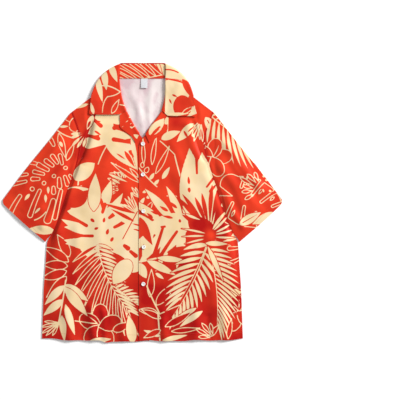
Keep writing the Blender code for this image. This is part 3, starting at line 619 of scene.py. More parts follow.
# Wearer's left front, from the chest down: drawn leaf, hanging leaf, split leaf, fan and palm, sprays.
FRONT_LEFT_PRINT = (
    (monstera, CREAM, (271, 34, 104, 145, 145, 3, -0.04)),
    (fan, CREAM, (231, 214, 250, 87, 60, 7, 0.15)),
    (veined, CREAM, (184, 243, 300, 64, 26, 0.05)),
    (slits, LINE, (312, -175, 98, 145, 133, 5, 0.05)),
    (leaf, CREAM, (289, -88, 200, 70, 26, 0.05)),
    (flower, LINE, (277, -320, 30, 52, 41, 5, 0.2)),
    (leaf, CREAM, (242, -273, 20, 58, 23)),
    (leaf, LINE, (4, 112, 92, 70, 10), (0, 101, 90, 13, 10), (28, 109, 84, 81, 12, -0.05),
     (39, 83, 60, 87, 14, 0.06)),
    (stem, CREAM, (51, 176, -40, 58, 2.9, -0.05), (94, 133, -77, 104, 3.8, 0.05)),
    (leaf, CREAM, (58, 67, 58, 41, 13), (22, 65, 56, 23, 10), (35, 50, 48, 20, 9)),
    (leaf, LINE, (9, 86, 60, 16, 12)),
    (leaf, CREAM, (1, 27, 20, 20, 8), (13, 11, 30, 20, 10), (-7, -9, 58, 26, 10)),
    (leaf, LINE, (13, -27, 60, 32, 12)),
    (stem, CREAM, (-10, 98, -52, 75, 3.2, 0.1)),
    (leaf, CREAM, (100, 14, 164, 32, 9, 0.2), (57, 182, 28, 58, 23, -0.1), (146, 225, 231, 70, 26, -0.05),
     (25, 202, 40, 61, 26, 0.1), (146, 191, 40, 32, 20)),
    (leaf, RED, (120, 205, -60, 26, 7)),
    (stem, CREAM, (74, 243, -92, 52, 3.2)),
    (fan, LINE, (170, 237, 250, 70, 50, 5, 0.2)),
    (leaf, CREAM, (190, -76, 128, 116, 75), (149, -47, 92, 203, 75, 0.03)),
    (leaf, JOIN, (187, -65, 94, 209, 87)),
    (slot, RED, (158, 78, 92, 81, 9), (184, 40, 52, 46, 8)),
    (leaf, RED, (193, 28, 46, 32, 9), (135, 51, 95, 23, 7.5), (135, 40, -85, 14, 9),
     (86, 17, -38, 70, 14, 0.1)),
    (split, CREAM, (129, -59, 188, 133, 244, 4, 0.03)),
    (leaf, RED, (175, -160, 171, 110, 49)),
    (leaf, JOIN, (28, -65, 254, 104, 26), (80, -47, -117, 122, 32, 0.04), (112, -41, -120, 139, 38, 0.04),
     (132, -59, -131, 128, 35, 0.04)),
    (slot, RED, (61, -70, -108, 96, 11), (103, -82, -126, 99, 11, 0.04), (51, -73, 5, 17, 7)),
    (leaf, RED, (-7, -47, -72, 87, 26, 0.12), (100, -18, 142, 32, 9), (74, -27, 150, 29, 9),
     (88, -47, 168, 32, 8), (48, -36, 160, 26, 8), (30, -47, 140, 23, 8), (109, -59, 100, 9, 7.5)),
    (fan, RED, (196, -91, 97, 145, 96, 10, 0.1)),
    (leaf, RED, (202, -99, 144, 87, 61), (193, -94, 8, 75, 52), (184, -111, 200, 58, 26)),
    (leaf, CREAM, (204, -79, 58, 75, 9, -0.1), (207, -82, 40, 64, 6.4, 0.1), (213, -88, 24, 58, 5.8, 0.1),
     (213, -94, 10, 58, 5.5, 0.1), (213, -102, -6, 58, 5.5, 0.1), (210, -111, -24, 52, 5.5, 0.1),
     (181, -91, 166, 70, 5.5, 0.05), (178, -99, 179, 64, 5.5, 0.05), (178, -108, 191, 58, 5.2, 0.05),
     (126, -36, -24, 46, 7, 0.05)),
    (stem, CREAM, (-13, -175, 12, 87, 4.6)),
    (leaf, CREAM, (45, -163, -4, 84, 17, -0.03), (16, -172, -25, 93, 22, -0.03), (39, -207, -36, 29, 10),
     (-10, -181, -62, 46, 26)),
    (leaf, LINE, (22, -273, 84, 78, 20, 0.05), (42, -297, 54, 78, 26, -0.1), (42, -323, 164, 55, 20, 0.1),
     (51, -337, 150, 58, 17, 0.1)),
    (stem, CREAM, (13, -244, -68, 87, 4.1, 0.05), (45, -320, -86, 81, 4.3),
     (48, -326, 26, 116, 2.9, -0.05)),
    (comb, CREAM, (187, -128, 254, 226, 70, 14, -0.18), (187, -123, 250, 180, -87, 10, -0.1),
     (190, -134, -72, 220, 87, 18, -0.2)),
    (leaf, CREAM, (190, -131, -66, 110, 14), (187, -125, 178, 70, 14, 0.25), (184, -120, -2, 64, 14),
     (173, -317, 212, 81, 17, 0.05), (155, -308, 208, 72, 14)),
    (leaf, LINE, (68, -360, 24, 87, 20, 0.1), (86, -375, 4, 81, 14, 0.05)),
    (leaf, CREAM, (51, -389, 160, 52, 14)),
    (leaf, LINE, (51, -372, 205, 52, 17)),
    (leaf, CREAM, (59, -401, 12, 75, 14)),
    (leaf, LINE, (196, -389, 52, 41, 14), (248, -395, 80, 58, 14)),
    (fan, LINE, (207, -395, 140, 58, 70, 4, 0.2)),
)
# Sleeves, seen from above.
SLEEVE_RIGHT_PRINT = (
    (flower, LINE, (-181, 246, 20, 41, 35, 5, 0.4)),
    (leaf, CREAM, (-152, 278, 214, 38, 9), (-164, 260, 228, 32, 9)),
    (fan, CREAM, (-161, 202, 222, 61, 70, 5, 0.25)),
    (leaf, LINE, (-219, 121, 66, 52, 14)),
    (leaf, CREAM, (-239, 217, 4, 26, 7)),
    (stem, CREAM, (-248, 208, -40, 52, 3.5, 0.25)),
    (leaf, LINE, (-242, 196, -74, 72, 17)),
    (leaf, CREAM, (-239, 173, -60, 17, 9)),
    (slot, LINE, (-254, 159, 118, 29, 12), (-243, 108, 125, 35, 12), (-231, 105, 104, 35, 11),
     (-255, 101, 143, 35, 13), (-268, 89, 151, 44, 14), (-281, 79, 166, 38, 11), (-294, 66, 180, 29, 12),
     (-303, 109, 165, 29, 12), (-329, 80, 186, 46, 11), (-332, 60, 192, 52, 11), (-241, 73, -87, 35, 13),
     (-226, 78, -72, 35, 12), (-213, 80, -52, 26, 10), (-257, 47, -89, 26, 12), (-229, 98, 0, 12, 10),
     (-262, 72, 20, 12, 10), (-291, 54, 0, 12, 11), (-326, 37, 0, 13, 12)),
    (leaf, CREAM, (-272, 43, -90, 20, 7.5), (-280, 20, -88, 23, 8), (-327, 22, 232, 23, 9),
     (-296, -18, 225, 23, 6.4)),
    (slot, LINE, (-350, 22, 234, 70, 14, 0.1), (-294, 38, 245, 90, 14, 0.06),
     (-255, 12, 256, 78, 21, -0.05), (-234, 38, 257, 93, 13)),
    (stem, CREAM, (-312, -53, 16, 38, 3.2, 0.35), (-233, -70, 72, 64, 3.2, 0.1)),
    (leaf, CREAM, (-257, -85, 172, 78, 26, 0.08)),
)
SLEEVE_LEFT_PRINT = (
    (palm, CREAM, (184, 260, -40, 180, 99, 12, 0.06)),
    (monstera, LINE, (260, 17, -20, 151, 145, 4)),
    (flower, LINE, (202, 127, 0, 52, 41, 5, 0.3)),
    (leaf, CREAM, (387, -36, 200, 75, 29, 0.05)),
    (fan, CREAM, (300, 150, 10, 75, 70, 7, 0.3)),
    (dots, CREAM, (312, 92, -50, 87, 35, 6)),
    (veined, CREAM, (283, -65, 30, 70, 26)),
    (fan, LINE, (347, 34, 160, 70, 90, 6, 0.4)),
)
# Collar's leaves, its band and the facings.
COLLAR_PRINT = (
    (leaf, CREAM, (-94, 399, -68, 58, 19), (-112, 382, -82, 61, 19), (-132, 365, -78, 81, 17)),
    (stem, CREAM, (-129, 335, 6, 26, 2.9, -0.1), (-106, 336, -8, 44, 3.5, -0.27),
     (-64, 318, 222, 36, 2.9, -0.39), (-100, 305, 225, 44, 2.9, 0.5)),
    (leaf, LINE, (-88, 257, 62, 44, 13)),
    (leaf, CREAM, (-141, 254, 104, 35, 10)),
    (stem, CREAM, (-65, 281, -10, 17, 2.9)),
    (leaf, CREAM, (80, 408, -58, 174, 151), (62, 324, -30, 122, 99)),
    (stem, RED, (68, 356, -8, 58, 4.6, -0.1), (68, 382, 4, 35, 4.1, -0.3)),
    (leaf, JOIN, (59, 272, -20, 75, 35)),
    (leaf, RED, (86, 310, -24, 17, 5.8), (78, 297, -65, 16, 5.2), (117, 353, -54, 87, 25),
     (116, 257, 90, 48, 54), (155, 318, -120, 70, 26, 0.2)),
    (leaf, JOIN, (68, 251, 4, 70, 10)),
    (leaf, LINE, (117, 256, 32, 38, 11)),
    (stem, RED, (59, 307, -90, 64, 13)),
)
BAND_PRINT = (
    (comb, LINE, (97, 376, 192, 215, -99, 12)),
    (leaf, CREAM, (54, 408, -78, 46, 14), (39, 411, -66, 44, 7.5)),
)
FACING_PRINT = (
    (leaf, LINE, (-33, 214, 62, 32, 12)),
    (stem, CREAM, (-59, 217, 40, 35, 2.9, 0.2)),
    (leaf, CREAM, (22, 196, 44, 64, 29, 0.05)),
    (leaf, RED, (25, 191, 44, 46, 9, 0.05)),
    (leaf, CREAM, (68, 225, 70, 26, 14), (-4, 182, 150, 26, 12)),
)
# Back, seen from behind, with X still to the wearer's left.
BACK_PRINT = (
    (slits, LINE, (209, -337, 96, 139, 145, 5)),
    (spray, CREAM, (255, -389, 100, 116, 75, 3)),
    (palm, CREAM, (226, -36, 110, 145, 81, 10)),
    (flower, LINE, (180, 156, 180, 52, 44, 5, -0.3)),
    (leaf, CREAM, (238, 75, 60, 75, 35)),
    (comb, CREAM, (145, -140, 284, 226, -75, 16, -0.18), (145, -140, 252, 220, -75, 18, 0.16),
     (145, -140, 252, 203, 64, 14, 0.16)),
    (leaf, CREAM, (148, -137, 270, 116, 17), (197, -285, 340, 81, 29, -0.05)),
    (flower, LINE, (203, -146, 180, 64, 52, 5, -0.2)),
    (leaf, CREAM, (157, -99, 326, 75, 29, -0.05), (249, -99, 30, 64, 23)),
    (leaf, LINE, (93, -128, 216, 87, 26, -0.1), (52, -105, 240, 87, 26, -0.1)),
    (split, CREAM, (44, 133, 78, 220, 203, 3, -0.03)),
    (leaf, JOIN, (49, 138, 67, 215, 81), (35, 138, 92, 203, 81), (23, 138, 124, 139, 46)),
    (slot, RED, (52, 283, 242, 46, 9)),
    (leaf, RED, (87, 301, 260, 29, 9), (90, 266, 260, 14, 9)),
    (slot, RED, (17, 260, 130, 41, 9), (44, 318, 250, 35, 9)),
    (fan, RED, (35, 133, 90, 128, 104, 10, -0.1)),
    (leaf, RED, (26, 127, 170, 75, 41)),
    (stem, CREAM, (23, 144, 146, 70, 4.1, -0.1), (20, 133, 168, 70, 4.1, -0.1),
     (20, 127, 188, 75, 4.1, -0.1)),
    (leaf, LINE, (104, 220, 344, 58, 14, -0.1), (116, 196, 304, 87, 17, -0.1)),
    (split, CREAM, (32, 121, 278, 174, 191, 4)),
    (leaf, JOIN, (58, 121, 10, 64, 26)),
    (leaf, RED, (61, 28, 278, 75, 20)),
    (leaf, CREAM, (61, 22, 278, 64, 12)),
    (leaf, RED, (87, 109, 356, 26, 8), (55, 98, 350, 29, 8), (23, 92, 170, 26, 8), (17, 69, 200, 26, 8)),
    (slot, RED, (35, 46, 274, 52, 10)),
    (fan, LINE, (-17, 353, 264, 133, 50, 8, -0.1)),
    (leaf, CREAM, (-23, 266, 222, 104, 49, -0.05), (-75, 307, 150, 64, 23), (-122, 260, 194, 75, 23)),
    (flower, LINE, (-104, 295, 180, 52, 44, 5, -0.3)),
    (leaf, CREAM, (-133, 231, 250, 41, 23)),
    (slits, LINE, (-70, 57, 96, 162, 215, 7)),
    (slot, LINE, (-110, 173, 166, 64, 14, -0.1), (-116, 144, 176, 70, 14), (-110, 109, 186, 64, 14)),
    (stem, CREAM, (-72, 92, 120, 46, 3.5)),
    (leaf, CREAM, (-160, 75, 166, 58, 26)),
    (stem, CREAM, (-75, 63, 264, 41, 3.2)),
    (leaf, CREAM, (0, -18, 144, 81, 14, -0.1)),
    (comb, CREAM, (-12, -18, 240, 99, -41, 9)),
    (leaf, CREAM, (-133, 11, 190, 64, 35, -0.1)),
    (stem, CREAM, (-174, 17, 140, 58, 3.2, -0.2)),
    (flower, LINE, (-102, -65, 180, 72, 58, 5, -0.1)),
    (split, CREAM, (-220, -204, 83, 157, 203, 4, -0.02)),
    (leaf, JOIN, (-313, -244, 58, 180, 128), (-296, -175, 70, 99, 64)),
    (leaf, CREAM, (-186, -117, 93, 104, 35)),
    (slot, RED, (-220, -111, 120, 38, 12), (-249, -140, 150, 38, 12)),
    (leaf, RED, (-226, -163, 110, 17, 9), (-177, -128, 220, 14, 9)),
    (comb, LINE, (-313, -111, 52, 110, -46, 9)),
    (fan, CREAM, (-284, -70, 340, 70, 70, 6, -0.2)),
    (leaf, RED, (-290, -256, 30, 110, 46)),
    (comb, LINE, (-200, -204, 264, 191, 104, 11, -0.3)),
    (comb, CREAM, (-200, -204, 264, 191, -64, 16, -0.3)),
    (leaf, CREAM, (-278, -291, 308, 64, 49, -0.05)),
    (comb, CREAM, (-244, -331, 218, 75, -35, 7)),
    (slits, LINE, (-6, -175, 264, 162, 220, 7)),
    (slot, LINE, (-3, -291, 276, 99, 14, -0.1), (-35, -285, 264, 87, 14, 0.1),
     (-61, -256, 242, 93, 17, -0.1), (-81, -204, 236, 75, 17, -0.1)),
    (leaf, LINE, (75, -285, 150, 64, 26, -0.1)),
    (flower, LINE, (52, -349, 180, 52, 41, 5, -0.2)),
    (leaf, CREAM, (-104, -337, 328, 81, 26, -0.05), (-104, -334, 220, 93, 32, 0.05),
     (-102, -349, 252, 75, 23)),
    (stem, CREAM, (-107, -285, 272, 116, 3.8, 0.05)),
    (leaf, LINE, (-139, -285, 120, 75, 23, -0.1), (-133, -175, 250, 87, 29, -0.1),
     (-110, -157, 230, 75, 23, 0.1)),
    (fan, LINE, (-168, -372, 110, 58, 80, 5, -0.1)),
)
# Collar's fall behind the neck.
FALL_PRINT = (
    (fan, CREAM, (0, 365, 90, 46, 150, 14, -0.1)),
    (leaf, CREAM, (93, 382, 160, 46, 12), (-70, 388, 190, 58, 20)),
    (stem, CREAM, (52, 370, 170, 58, 2.9, -0.1)),
    (leaf, CREAM, (-122, 359, 330, 52, 17)),
)
# Sleeves, seen from behind.
UNDER_RIGHT_PRINT = (
    (leaf, CREAM, (-197, 150, 116, 110, 46), (-220, 150, 140, 87, 32)),
    (leaf, LINE, (-186, 144, 68, 81, 20, -0.1)),
    (fan, CREAM, (-244, 127, 254, 139, 96, 8, -0.1)),
    (slot, LINE, (-267, 144, 128, 64, 17, -0.1), (-290, 115, 136, 58, 17, -0.1),
     (-313, 80, 120, 52, 17, -0.1), (-331, 46, 110, 58, 17, -0.1)),
    (leaf, CREAM, (-331, -1, 150, 52, 23)),
    (leaf, LINE, (-296, -41, 30, 75, 26, -0.1)),
)
UNDER_LEFT_PRINT = (
    (split, CREAM, (232, 144, 22, 145, 145, 4)),
    (palm, CREAM, (313, 5, 160, 145, 75, 11, -0.05)),
    (flower, LINE, (365, 75, 180, 49, 41, 5, -0.3)),
    (fan, LINE, (215, 237, 310, 81, 90, 8, -0.3)),
    (leaf, CREAM, (313, -41, 30, 70, 26)),
)
FRONT_PRINT = {"right": FRONT_RIGHT_PRINT, "left": FRONT_LEFT_PRINT}
SLEEVE_PRINT = {  # above and below
    "right": (SLEEVE_RIGHT_PRINT, UNDER_RIGHT_PRINT),
    "left": (SLEEVE_LEFT_PRINT, UNDER_LEFT_PRINT),
}
# Where the red is deeper: x, y, radius, amount. The front's first eleven rows, down the fold from the collar
# to the wearer's right underarm, are painted shade; its other rows and the back's are deeper red of the
# print.
FRONT_DYE_AND_SHADE = (
    (-141, 246, 10, 0.9), (-146, 231, 10, 0.9), (-152, 217, 10, 0.9), (-159, 202, 10, 0.9),
    (-165, 188, 10, 0.9), (-171, 173, 10, 0.9), (-177, 159, 12, 0.8), (-181, 136, 17, 0.5),
    (-199, 80, 20, 0.5), (-228, -9, 23, 0.45), (-257, -88, 23, 0.4), (-123, -343, 26, 0.7),
    (-129, -384, 23, 0.7), (-51, -299, 29, 0.4), (-239, -198, 29, 0.3), (-170, -140, 23, 0.25),
    (-88, -389, 23, -0.3), (164, -62, 26, 0.95), (228, -79, 26, 0.95), (199, -94, 14, -0.8),
    (170, -18, 17, 0.5), (207, -36, 17, 0.4), (62, -337, 23, 0.8), (22, -256, 23, 0.5), (65, -262, 26, 0.4),
    (126, -175, 17, 0.6), (155, -337, 35, 0.35), (260, -285, 35, 0.4), (210, -285, 29, -0.2),
    (138, 127, 17, 0.3), (97, 231, 17, 0.35), (-65, 107, 41, -0.25), (-51, 46, 26, -0.2), (65, 5, 35, -0.2),
    (-297, 20, 41, 0.15), (-222, 179, 29, -0.2), (10, -285, 14, 0.4),
)
BACK_DEEP = (
    (29, 127, 29, 0.6), (-12, -285, 75, 0.45), (52, -343, 46, 0.4), (-255, -372, 46, 0.5),
    (-151, 34, 35, 0.3), (-102, -59, 41, -0.2), (-174, 208, 23, 0.4), (-87, -337, 35, 0.4),
    (145, -285, 46, 0.4),
)


def away(xy, strokes):
    """Distance from each point to the nearest stroke's edge, below 0 inside, and FAR where none is near."""
    off = np.full(len(xy), FAR)
    for stroke in strokes:
        line, half = stroke[:, :2], stroke[:, 2]
        reach = half.max() + NEAR
        near = np.flatnonzero(((xy > line.min(0) - reach) & (xy < line.max(0) + reach)).all(1))
        if not len(near):
            continue
        a, b = line[:-1], line[1:]
        span = b - a
        rel = xy[near, None] - a
        t = np.clip((rel * span).sum(-1) / np.maximum((span**2).sum(-1), TINY), 0, 1)
        gone = np.hypot(*np.moveaxis(rel - t[..., None] * span, -1, 0)) - (half[:-1] + t * np.diff(half))
        off[near] = np.minimum(off[near], gone.min(1))
    return off


def lay(field, xy, paint, layer, strokes, cuts):
    """Field of the print (above 0 cream, below 0 red) with one layer of a motif laid on it."""
    off = away(xy, strokes)
    if layer == "vein":
        return np.maximum(field, -off) if paint == LINE else np.minimum(field, off)
    if layer == "stroke":
        return np.minimum(field, off) if paint == RED else np.maximum(field, -off)
    form = np.maximum(off, -away(xy, cuts)) if cuts else off
    if paint == CREAM:
        return np.maximum(np.minimum(field, off - MARGIN), -form)
    if paint == JOIN:
        return np.maximum(field, -form)
    if paint == RED:
        return np.minimum(field, form)
    return np.maximum(np.minimum(field, off - MARGIN / 2), LINE_WIDTH / 2 - np.abs(form))


def lay_motif(field, xy, kind, paint, place):
    """One motif laid on the field, turned and moved to its place. Only points near it are worked out."""
    x, y, angle, length, width, *form = place
    way = np.radians(angle)
    turn = np.array(((np.cos(way), np.sin(way)), (-np.sin(way), np.cos(way))))
    foot = np.array((x, y))
    reach = 1.5 * (length + abs(width)) + 12
    near = np.flatnonzero(((xy > foot - reach) & (xy < foot + reach)).all(1))
    if not len(near):
        return
    local = (xy[near] - foot) @ turn.T
    for layer, strokes, cuts in kind(length, width, *form):
        alone = layer == "each" and paint == LINE
        for batch in [[stroke] for stroke in strokes] if alone else [strokes]:
            field[near] = lay(field[near], local, paint, layer, batch, cuts)


def printed(xy, rows):
    """The print at each point: motif after motif."""
    field = np.full(len(xy), -FAR)
    for kind, paint, *places in rows:
        for place in places:
            lay_motif(field, xy, kind, paint, place)
    return field


def tone(xy, rows):
    """Where the red is deeper, 0 to 1: round patches of the print's deeper red and of painted shade,
    and a drift towards the hem.
    """
    deep = 0.25 + 0.5 * smooth((60 - xy[:, 1]) / 420) + ripple(xy, seed=11, size=120, height=0.12)
    for x, y, radius, amount in rows:
        deep = deep + amount * np.exp(-(((xy - (x, y)) / radius) ** 2).sum(1))
    return np.clip(deep, 0, 1)


# ---- materials ----
# The second red is the print's deeper red, and also the red that painted shade darkens towards.
RED_BRIGHT, RED_DEEP_AND_SHADED = (0.74, 0.044, 0.012, 1), (0.40, 0.002, 0.002, 1)
CREAM_LIGHT, CREAM_WARM = (0.79, 0.62, 0.385, 1), (0.73, 0.54, 0.28, 1)
PINK_PALE, PINK_DEEP = (0.75, 0.66, 0.645, 1), (0.61, 0.45, 0.475, 1)
FADED = (0.6, 0.2, 0.1, 1)  # colour of the finest worn specks
THREAD_PITCH, TAPE_PITCH = 0.00032, 0.0003  # metres from one thread of the weave to the next
WEAVE_STRENGTH, WEAVE_DEPTH = 0.25, 0.00006


def put(tree, kind, settings=None, inputs=None):
    """Node of a kind in a tree, with its settings, and its inputs given as values or as sockets to link."""
    made = tree.nodes.new("ShaderNode" + kind)
    for title, value in (settings or {}).items():
        setattr(made, title, value)
    for key, value in (inputs or {}).items():
        if isinstance(value, bpy.types.NodeSocket):
            tree.links.new(value, made.inputs[key])
        else:
            made.inputs[key].default_value = value
    return made


def calculate(tree, operation, *values, clamp=False):
    """One sum worked out on values or sockets."""
    settings = {"operation": operation, "use_clamp": clamp}
    return put(tree, "Math", settings, dict(enumerate(values))).outputs[0]


def noise(tree, place, scale, detail, distortion=0.0):
    """Soft noise over a place, 0 to 1."""
    inputs = {"Vector": place, "Scale": scale, "Detail": detail, "Distortion": distortion}
    return put(tree, "TexNoise", None, inputs).outputs[0]


def ramp(tree, value, *ends):
    """Value carried from between its first two ends to between the next two, or to 0 to 1, and held there."""
    return put(tree, "MapRange", None, {0: value, **dict(enumerate(ends, 1))}).outputs[0]


def blend_colours(tree, share, first, second):
    """Mix of two colours, each a value or a socket."""
    return put(tree, "Mix", {"data_type": "RGBA"}, {0: share, 6: first, 7: second}).outputs[2]


def group(name, inputs, outputs):
    """Shader node group with named sockets; returns the tree, its input sockets and its output node."""
    tree = bpy.data.node_groups.new(name, "ShaderNodeTree")
    for sockets, way in ((inputs, "INPUT"), (outputs, "OUTPUT")):
        for title, kind in sockets:
            tree.interface.new_socket(title, in_out=way, socket_type=f"NodeSocket{kind}")
    return tree, tree.nodes.new("NodeGroupInput").outputs, tree.nodes.new("NodeGroupOutput")


def weave_group():
    """Height of a plain weave: warp and weft threads as two crossed sines that take turns to lie on top,
    with a slow slub."""
    tree, given, out = group("weave", [("Place", "Vector"), ("Pitch", "Float")], [("Height", "Float")])
    parts = put(tree, "SeparateXYZ", None, {0: given["Place"]}).outputs
    rate = calculate(tree, "DIVIDE", np.pi, given["Pitch"])
    warp, weft = (calculate(tree, "SINE", calculate(tree, "MULTIPLY", parts[axis], rate)) for axis in (0, 1))
    over = calculate(tree, "MULTIPLY", warp, weft)
    slub = noise(tree, given["Place"], 420.0, 3.0)
    tree.links.new(calculate(tree, "MULTIPLY_ADD", slub, 1.6, over), out.inputs[0])
    return tree


def print_group():
    """Colours of the printed cloth: cream where the print's field is above 0 and red below it, its edge
    wandering a little, the red deeper where the print's red is deeper and where shade is painted in,
    both slightly uneven."""
    tree, given, out = group("printed", [("Print", "Float"), ("Deep", "Float"), ("Place", "Vector")],
                             [("Colour", "Color"), ("Cream", "Float")])
    wander = noise(tree, given["Place"], 190.0, 2.0)
    cloud = noise(tree, given["Place"], 14.0, 3.0)
    fine = noise(tree, given["Place"], 700.0, 2.0)
    cream = ramp(tree, calculate(tree, "MULTIPLY_ADD", wander, 0.9, given["Print"]), 0.15, 0.75)
    # painted shade: the carried depth of red includes painted armhole shade, not only the print's deeper red
    dye_and_painted_shade = calculate(tree, "ADD", ramp(tree, cloud, 0.3, 0.7, -0.18, 0.18), given["Deep"], clamp=True)
    red = blend_colours(tree, dye_and_painted_shade, RED_BRIGHT, RED_DEEP_AND_SHADED)
    pale = blend_colours(tree, ramp(tree, cloud, 0.35, 0.75), CREAM_LIGHT, CREAM_WARM)
    colour = blend_colours(tree, cream, red, pale)
    worn = ramp(tree, fine, 0.3, 0.75, 0.0, 0.03)
    tree.links.new(blend_colours(tree, worn, colour, FADED), out.inputs["Colour"])
    tree.links.new(cream, out.inputs["Cream"])
    return tree


WEAVE, PRINTED = weave_group(), print_group()


def shader(name, finish):
    """New material with a finish's values set: its tree, its Principled shader and its object coordinates."""
    made = bpy.data.materials.new(name)
    made.use_nodes = True
    surface = made.node_tree.nodes["Principled BSDF"]
    for title, value in finish.items():
        surface.inputs[title].default_value = value
    place = put(made.node_tree, "TexCoord").outputs["Object"]
    return made, made.node_tree, surface, place


def shared(tree, effect, inputs):
    """A shared effect placed in a material's tree; returns its outputs."""
    return put(tree, "Group", {"node_tree": effect}, inputs).outputs


def woven(tree, place, pitch):
    """Height of the weave at a place."""
    return shared(tree, WEAVE, {"Place": place, "Pitch": pitch})["Height"]


def carried(tree, name):
    """Value that a cloth piece carries at each of its points."""
    return put(tree, "Attribute", {"attribute_name": name}).outputs["Fac"]


def bumped(tree, surface, height, strength, depth):
    """Fine relief of a height, in metres of depth, on the shader's normal."""
    bump = put(tree, "Bump", None, {"Height": height, "Strength": strength, "Distance": depth})
    tree.links.new(bump.outputs[0], surface.inputs["Normal"])


def printed_cloth():
    """Right side of the cloth: smooth, with a soft sheen."""
    made, tree, surface, place = shader(
        "printed cloth", {"Specular IOR Level": 0.12, "Sheen Weight": 0.02, "Sheen Roughness": 0.4})
    inputs = {"Print": carried(tree, "print"), "Deep": carried(tree, "deep"), "Place": place}
    colours = shared(tree, PRINTED, inputs)
    tree.links.new(colours["Colour"], surface.inputs["Base Color"])
    tree.links.new(ramp(tree, colours["Cream"], 0, 1, 0.47, 0.56), surface.inputs["Roughness"])
    bumped(tree, surface, woven(tree, place, THREAD_PITCH), WEAVE_STRENGTH, WEAVE_DEPTH)
    return made


def cloth_inside():
    """Wrong side of the cloth: pale, with the red of the print showing through faintly."""
    made, tree, surface, place = shader(
        "cloth inside", {"Roughness": 0.62, "Specular IOR Level": 0.3, "Sheen Weight": 0.1})
    moved = calculate(tree, "MULTIPLY_ADD", noise(tree, place, 34.0, 3.0, 1.2), 9.0, carried(tree, "print"))
    through_cloth = ramp(tree, moved, 9.0, -2.0)
    tree.links.new(blend_colours(tree, through_cloth, PINK_PALE, PINK_DEEP), surface.inputs["Base Color"])
    bumped(tree, surface, woven(tree, place, THREAD_PITCH), WEAVE_STRENGTH, WEAVE_DEPTH)
    return made


def plain(name, light, dark, roughness, scale, pitch=None, coat=0.0):
    """One uneven colour between two, over noise of the given scale, with or without a weave."""
    made, tree, surface, place = shader(name, {"Roughness": roughness, "Coat Weight": coat})
    cloud = noise(tree, place, scale, 3.0)
    colour = blend_colours(tree, ramp(tree, cloud, 0.35, 0.65), light, dark)
    tree.links.new(colour, surface.inputs["Base Color"])
    bumped(tree, surface, woven(tree, place, pitch) if pitch else cloud, 0.3, 0.0001)
    return made


SKIN, LINING = printed_cloth(), cloth_inside()
THREAD = plain("sewing thread", (0.62, 0.07, 0.035, 1), (0.46, 0.03, 0.02, 1), roughness=0.6, scale=900.0)
PALE_THREAD = plain("pale thread", (0.85, 0.82, 0.76, 1), (0.7, 0.66, 0.6, 1), roughness=0.6, scale=900.0)
PEARL = plain("pearly shell", (0.9, 0.89, 0.87, 1), (0.78, 0.79, 0.8, 1),
              roughness=0.24, scale=240.0, coat=0.4)
# painted shade: the label is white; this grey is partly its grey-blue mark spread over the whole tape and
# partly the shade inside the neck
LABEL_TAPE_MARKED_AND_SHADED = plain("label tape with mark and painted shade", (0.66, 0.66, 0.68, 1), (0.58, 0.58, 0.61, 1),
             roughness=0.6, scale=300.0, pitch=TAPE_PITCH)


# ---- cloth pieces ----
UV_OUTER, UV_INNER, UV_RIM = (0.01, 0.74), (0.79, 0.99), 0.745  # where a shell's parts lie in its UV map
SHARP = 0.9  # radians between faces past which an edge shows as sharp
# painted shade: the red is painted deeper in a band along the armhole seam, where the fold beside it lies in
# shade
ARMHOLE_PAINTED_SHADE = 0.8  # how much deeper the red is in the fold beside the armhole
TUCK_IN, TUCK_ON_TOP, TUCK_DROP = SEAM - 0.1, 1.6, 1.1  # how far a sleeve's armhole edge runs in and sinks
BAND_DROP, BAND_PROUD = 2.8, 0.9  # the band's top below the roll, and its swell
TAPE_THICK, TAPE_SEWN, TAPE_LIFT = 0.6, 0.6, 1.6  # the label: its gap from the band, and its edge's lift


def linked(name, data):
    """New object at the origin that shows the data."""
    made = bpy.data.objects.new(name, data)
    bpy.context.scene.collection.objects.link(made)
    return made


def rim(fine, coarse, every):
    """Triangles between a fine loop of vertices and a coarse one below, and their places along the loop."""
    n, m = np.arange(len(fine)), np.arange(len(coarse))
    seg, late = n // every, n % every >= (every + 1) // 2
    ends = np.roll(coarse, -1)
    tris = np.column_stack((np.roll(fine, -1), fine, np.where(late, ends[seg], coarse[seg])))
    run = np.column_stack((n + 1, n, (seg + late) * every))
    turn = m * every + (every + 1) // 2
    wide = np.column_stack((fine[turn % len(fine)], coarse, ends))
    wide_run = np.column_stack((turn, m * every, (m + 1) * every))
    level = np.vstack((np.tile((0, 0, 1), (len(tris), 1)), np.tile((0, 1, 1), (len(wide), 1))))
    return np.vstack((tris, wide)), np.vstack((run, wide_run)) / len(fine), level


def cells(ids, left, right, back):
    """Four-cornered faces of a grid of vertices, turned over for the back, and their places in the UV map."""
    u, v = np.meshgrid(np.linspace(left, right, ids.shape[1]), np.linspace(0.01, 0.99, ids.shape[0]))
    place = np.stack((u, v), -1)
    low, high = slice(None, -1), slice(1, None)
    corners = [(low, low), (low, high), (high, high), (high, low)][::-1 if back else 1]
    return (np.stack([ids[corner] for corner in corners], -1).reshape(-1, 4),
            np.stack([place[corner] for corner in corners], 2).reshape(-1, 2))


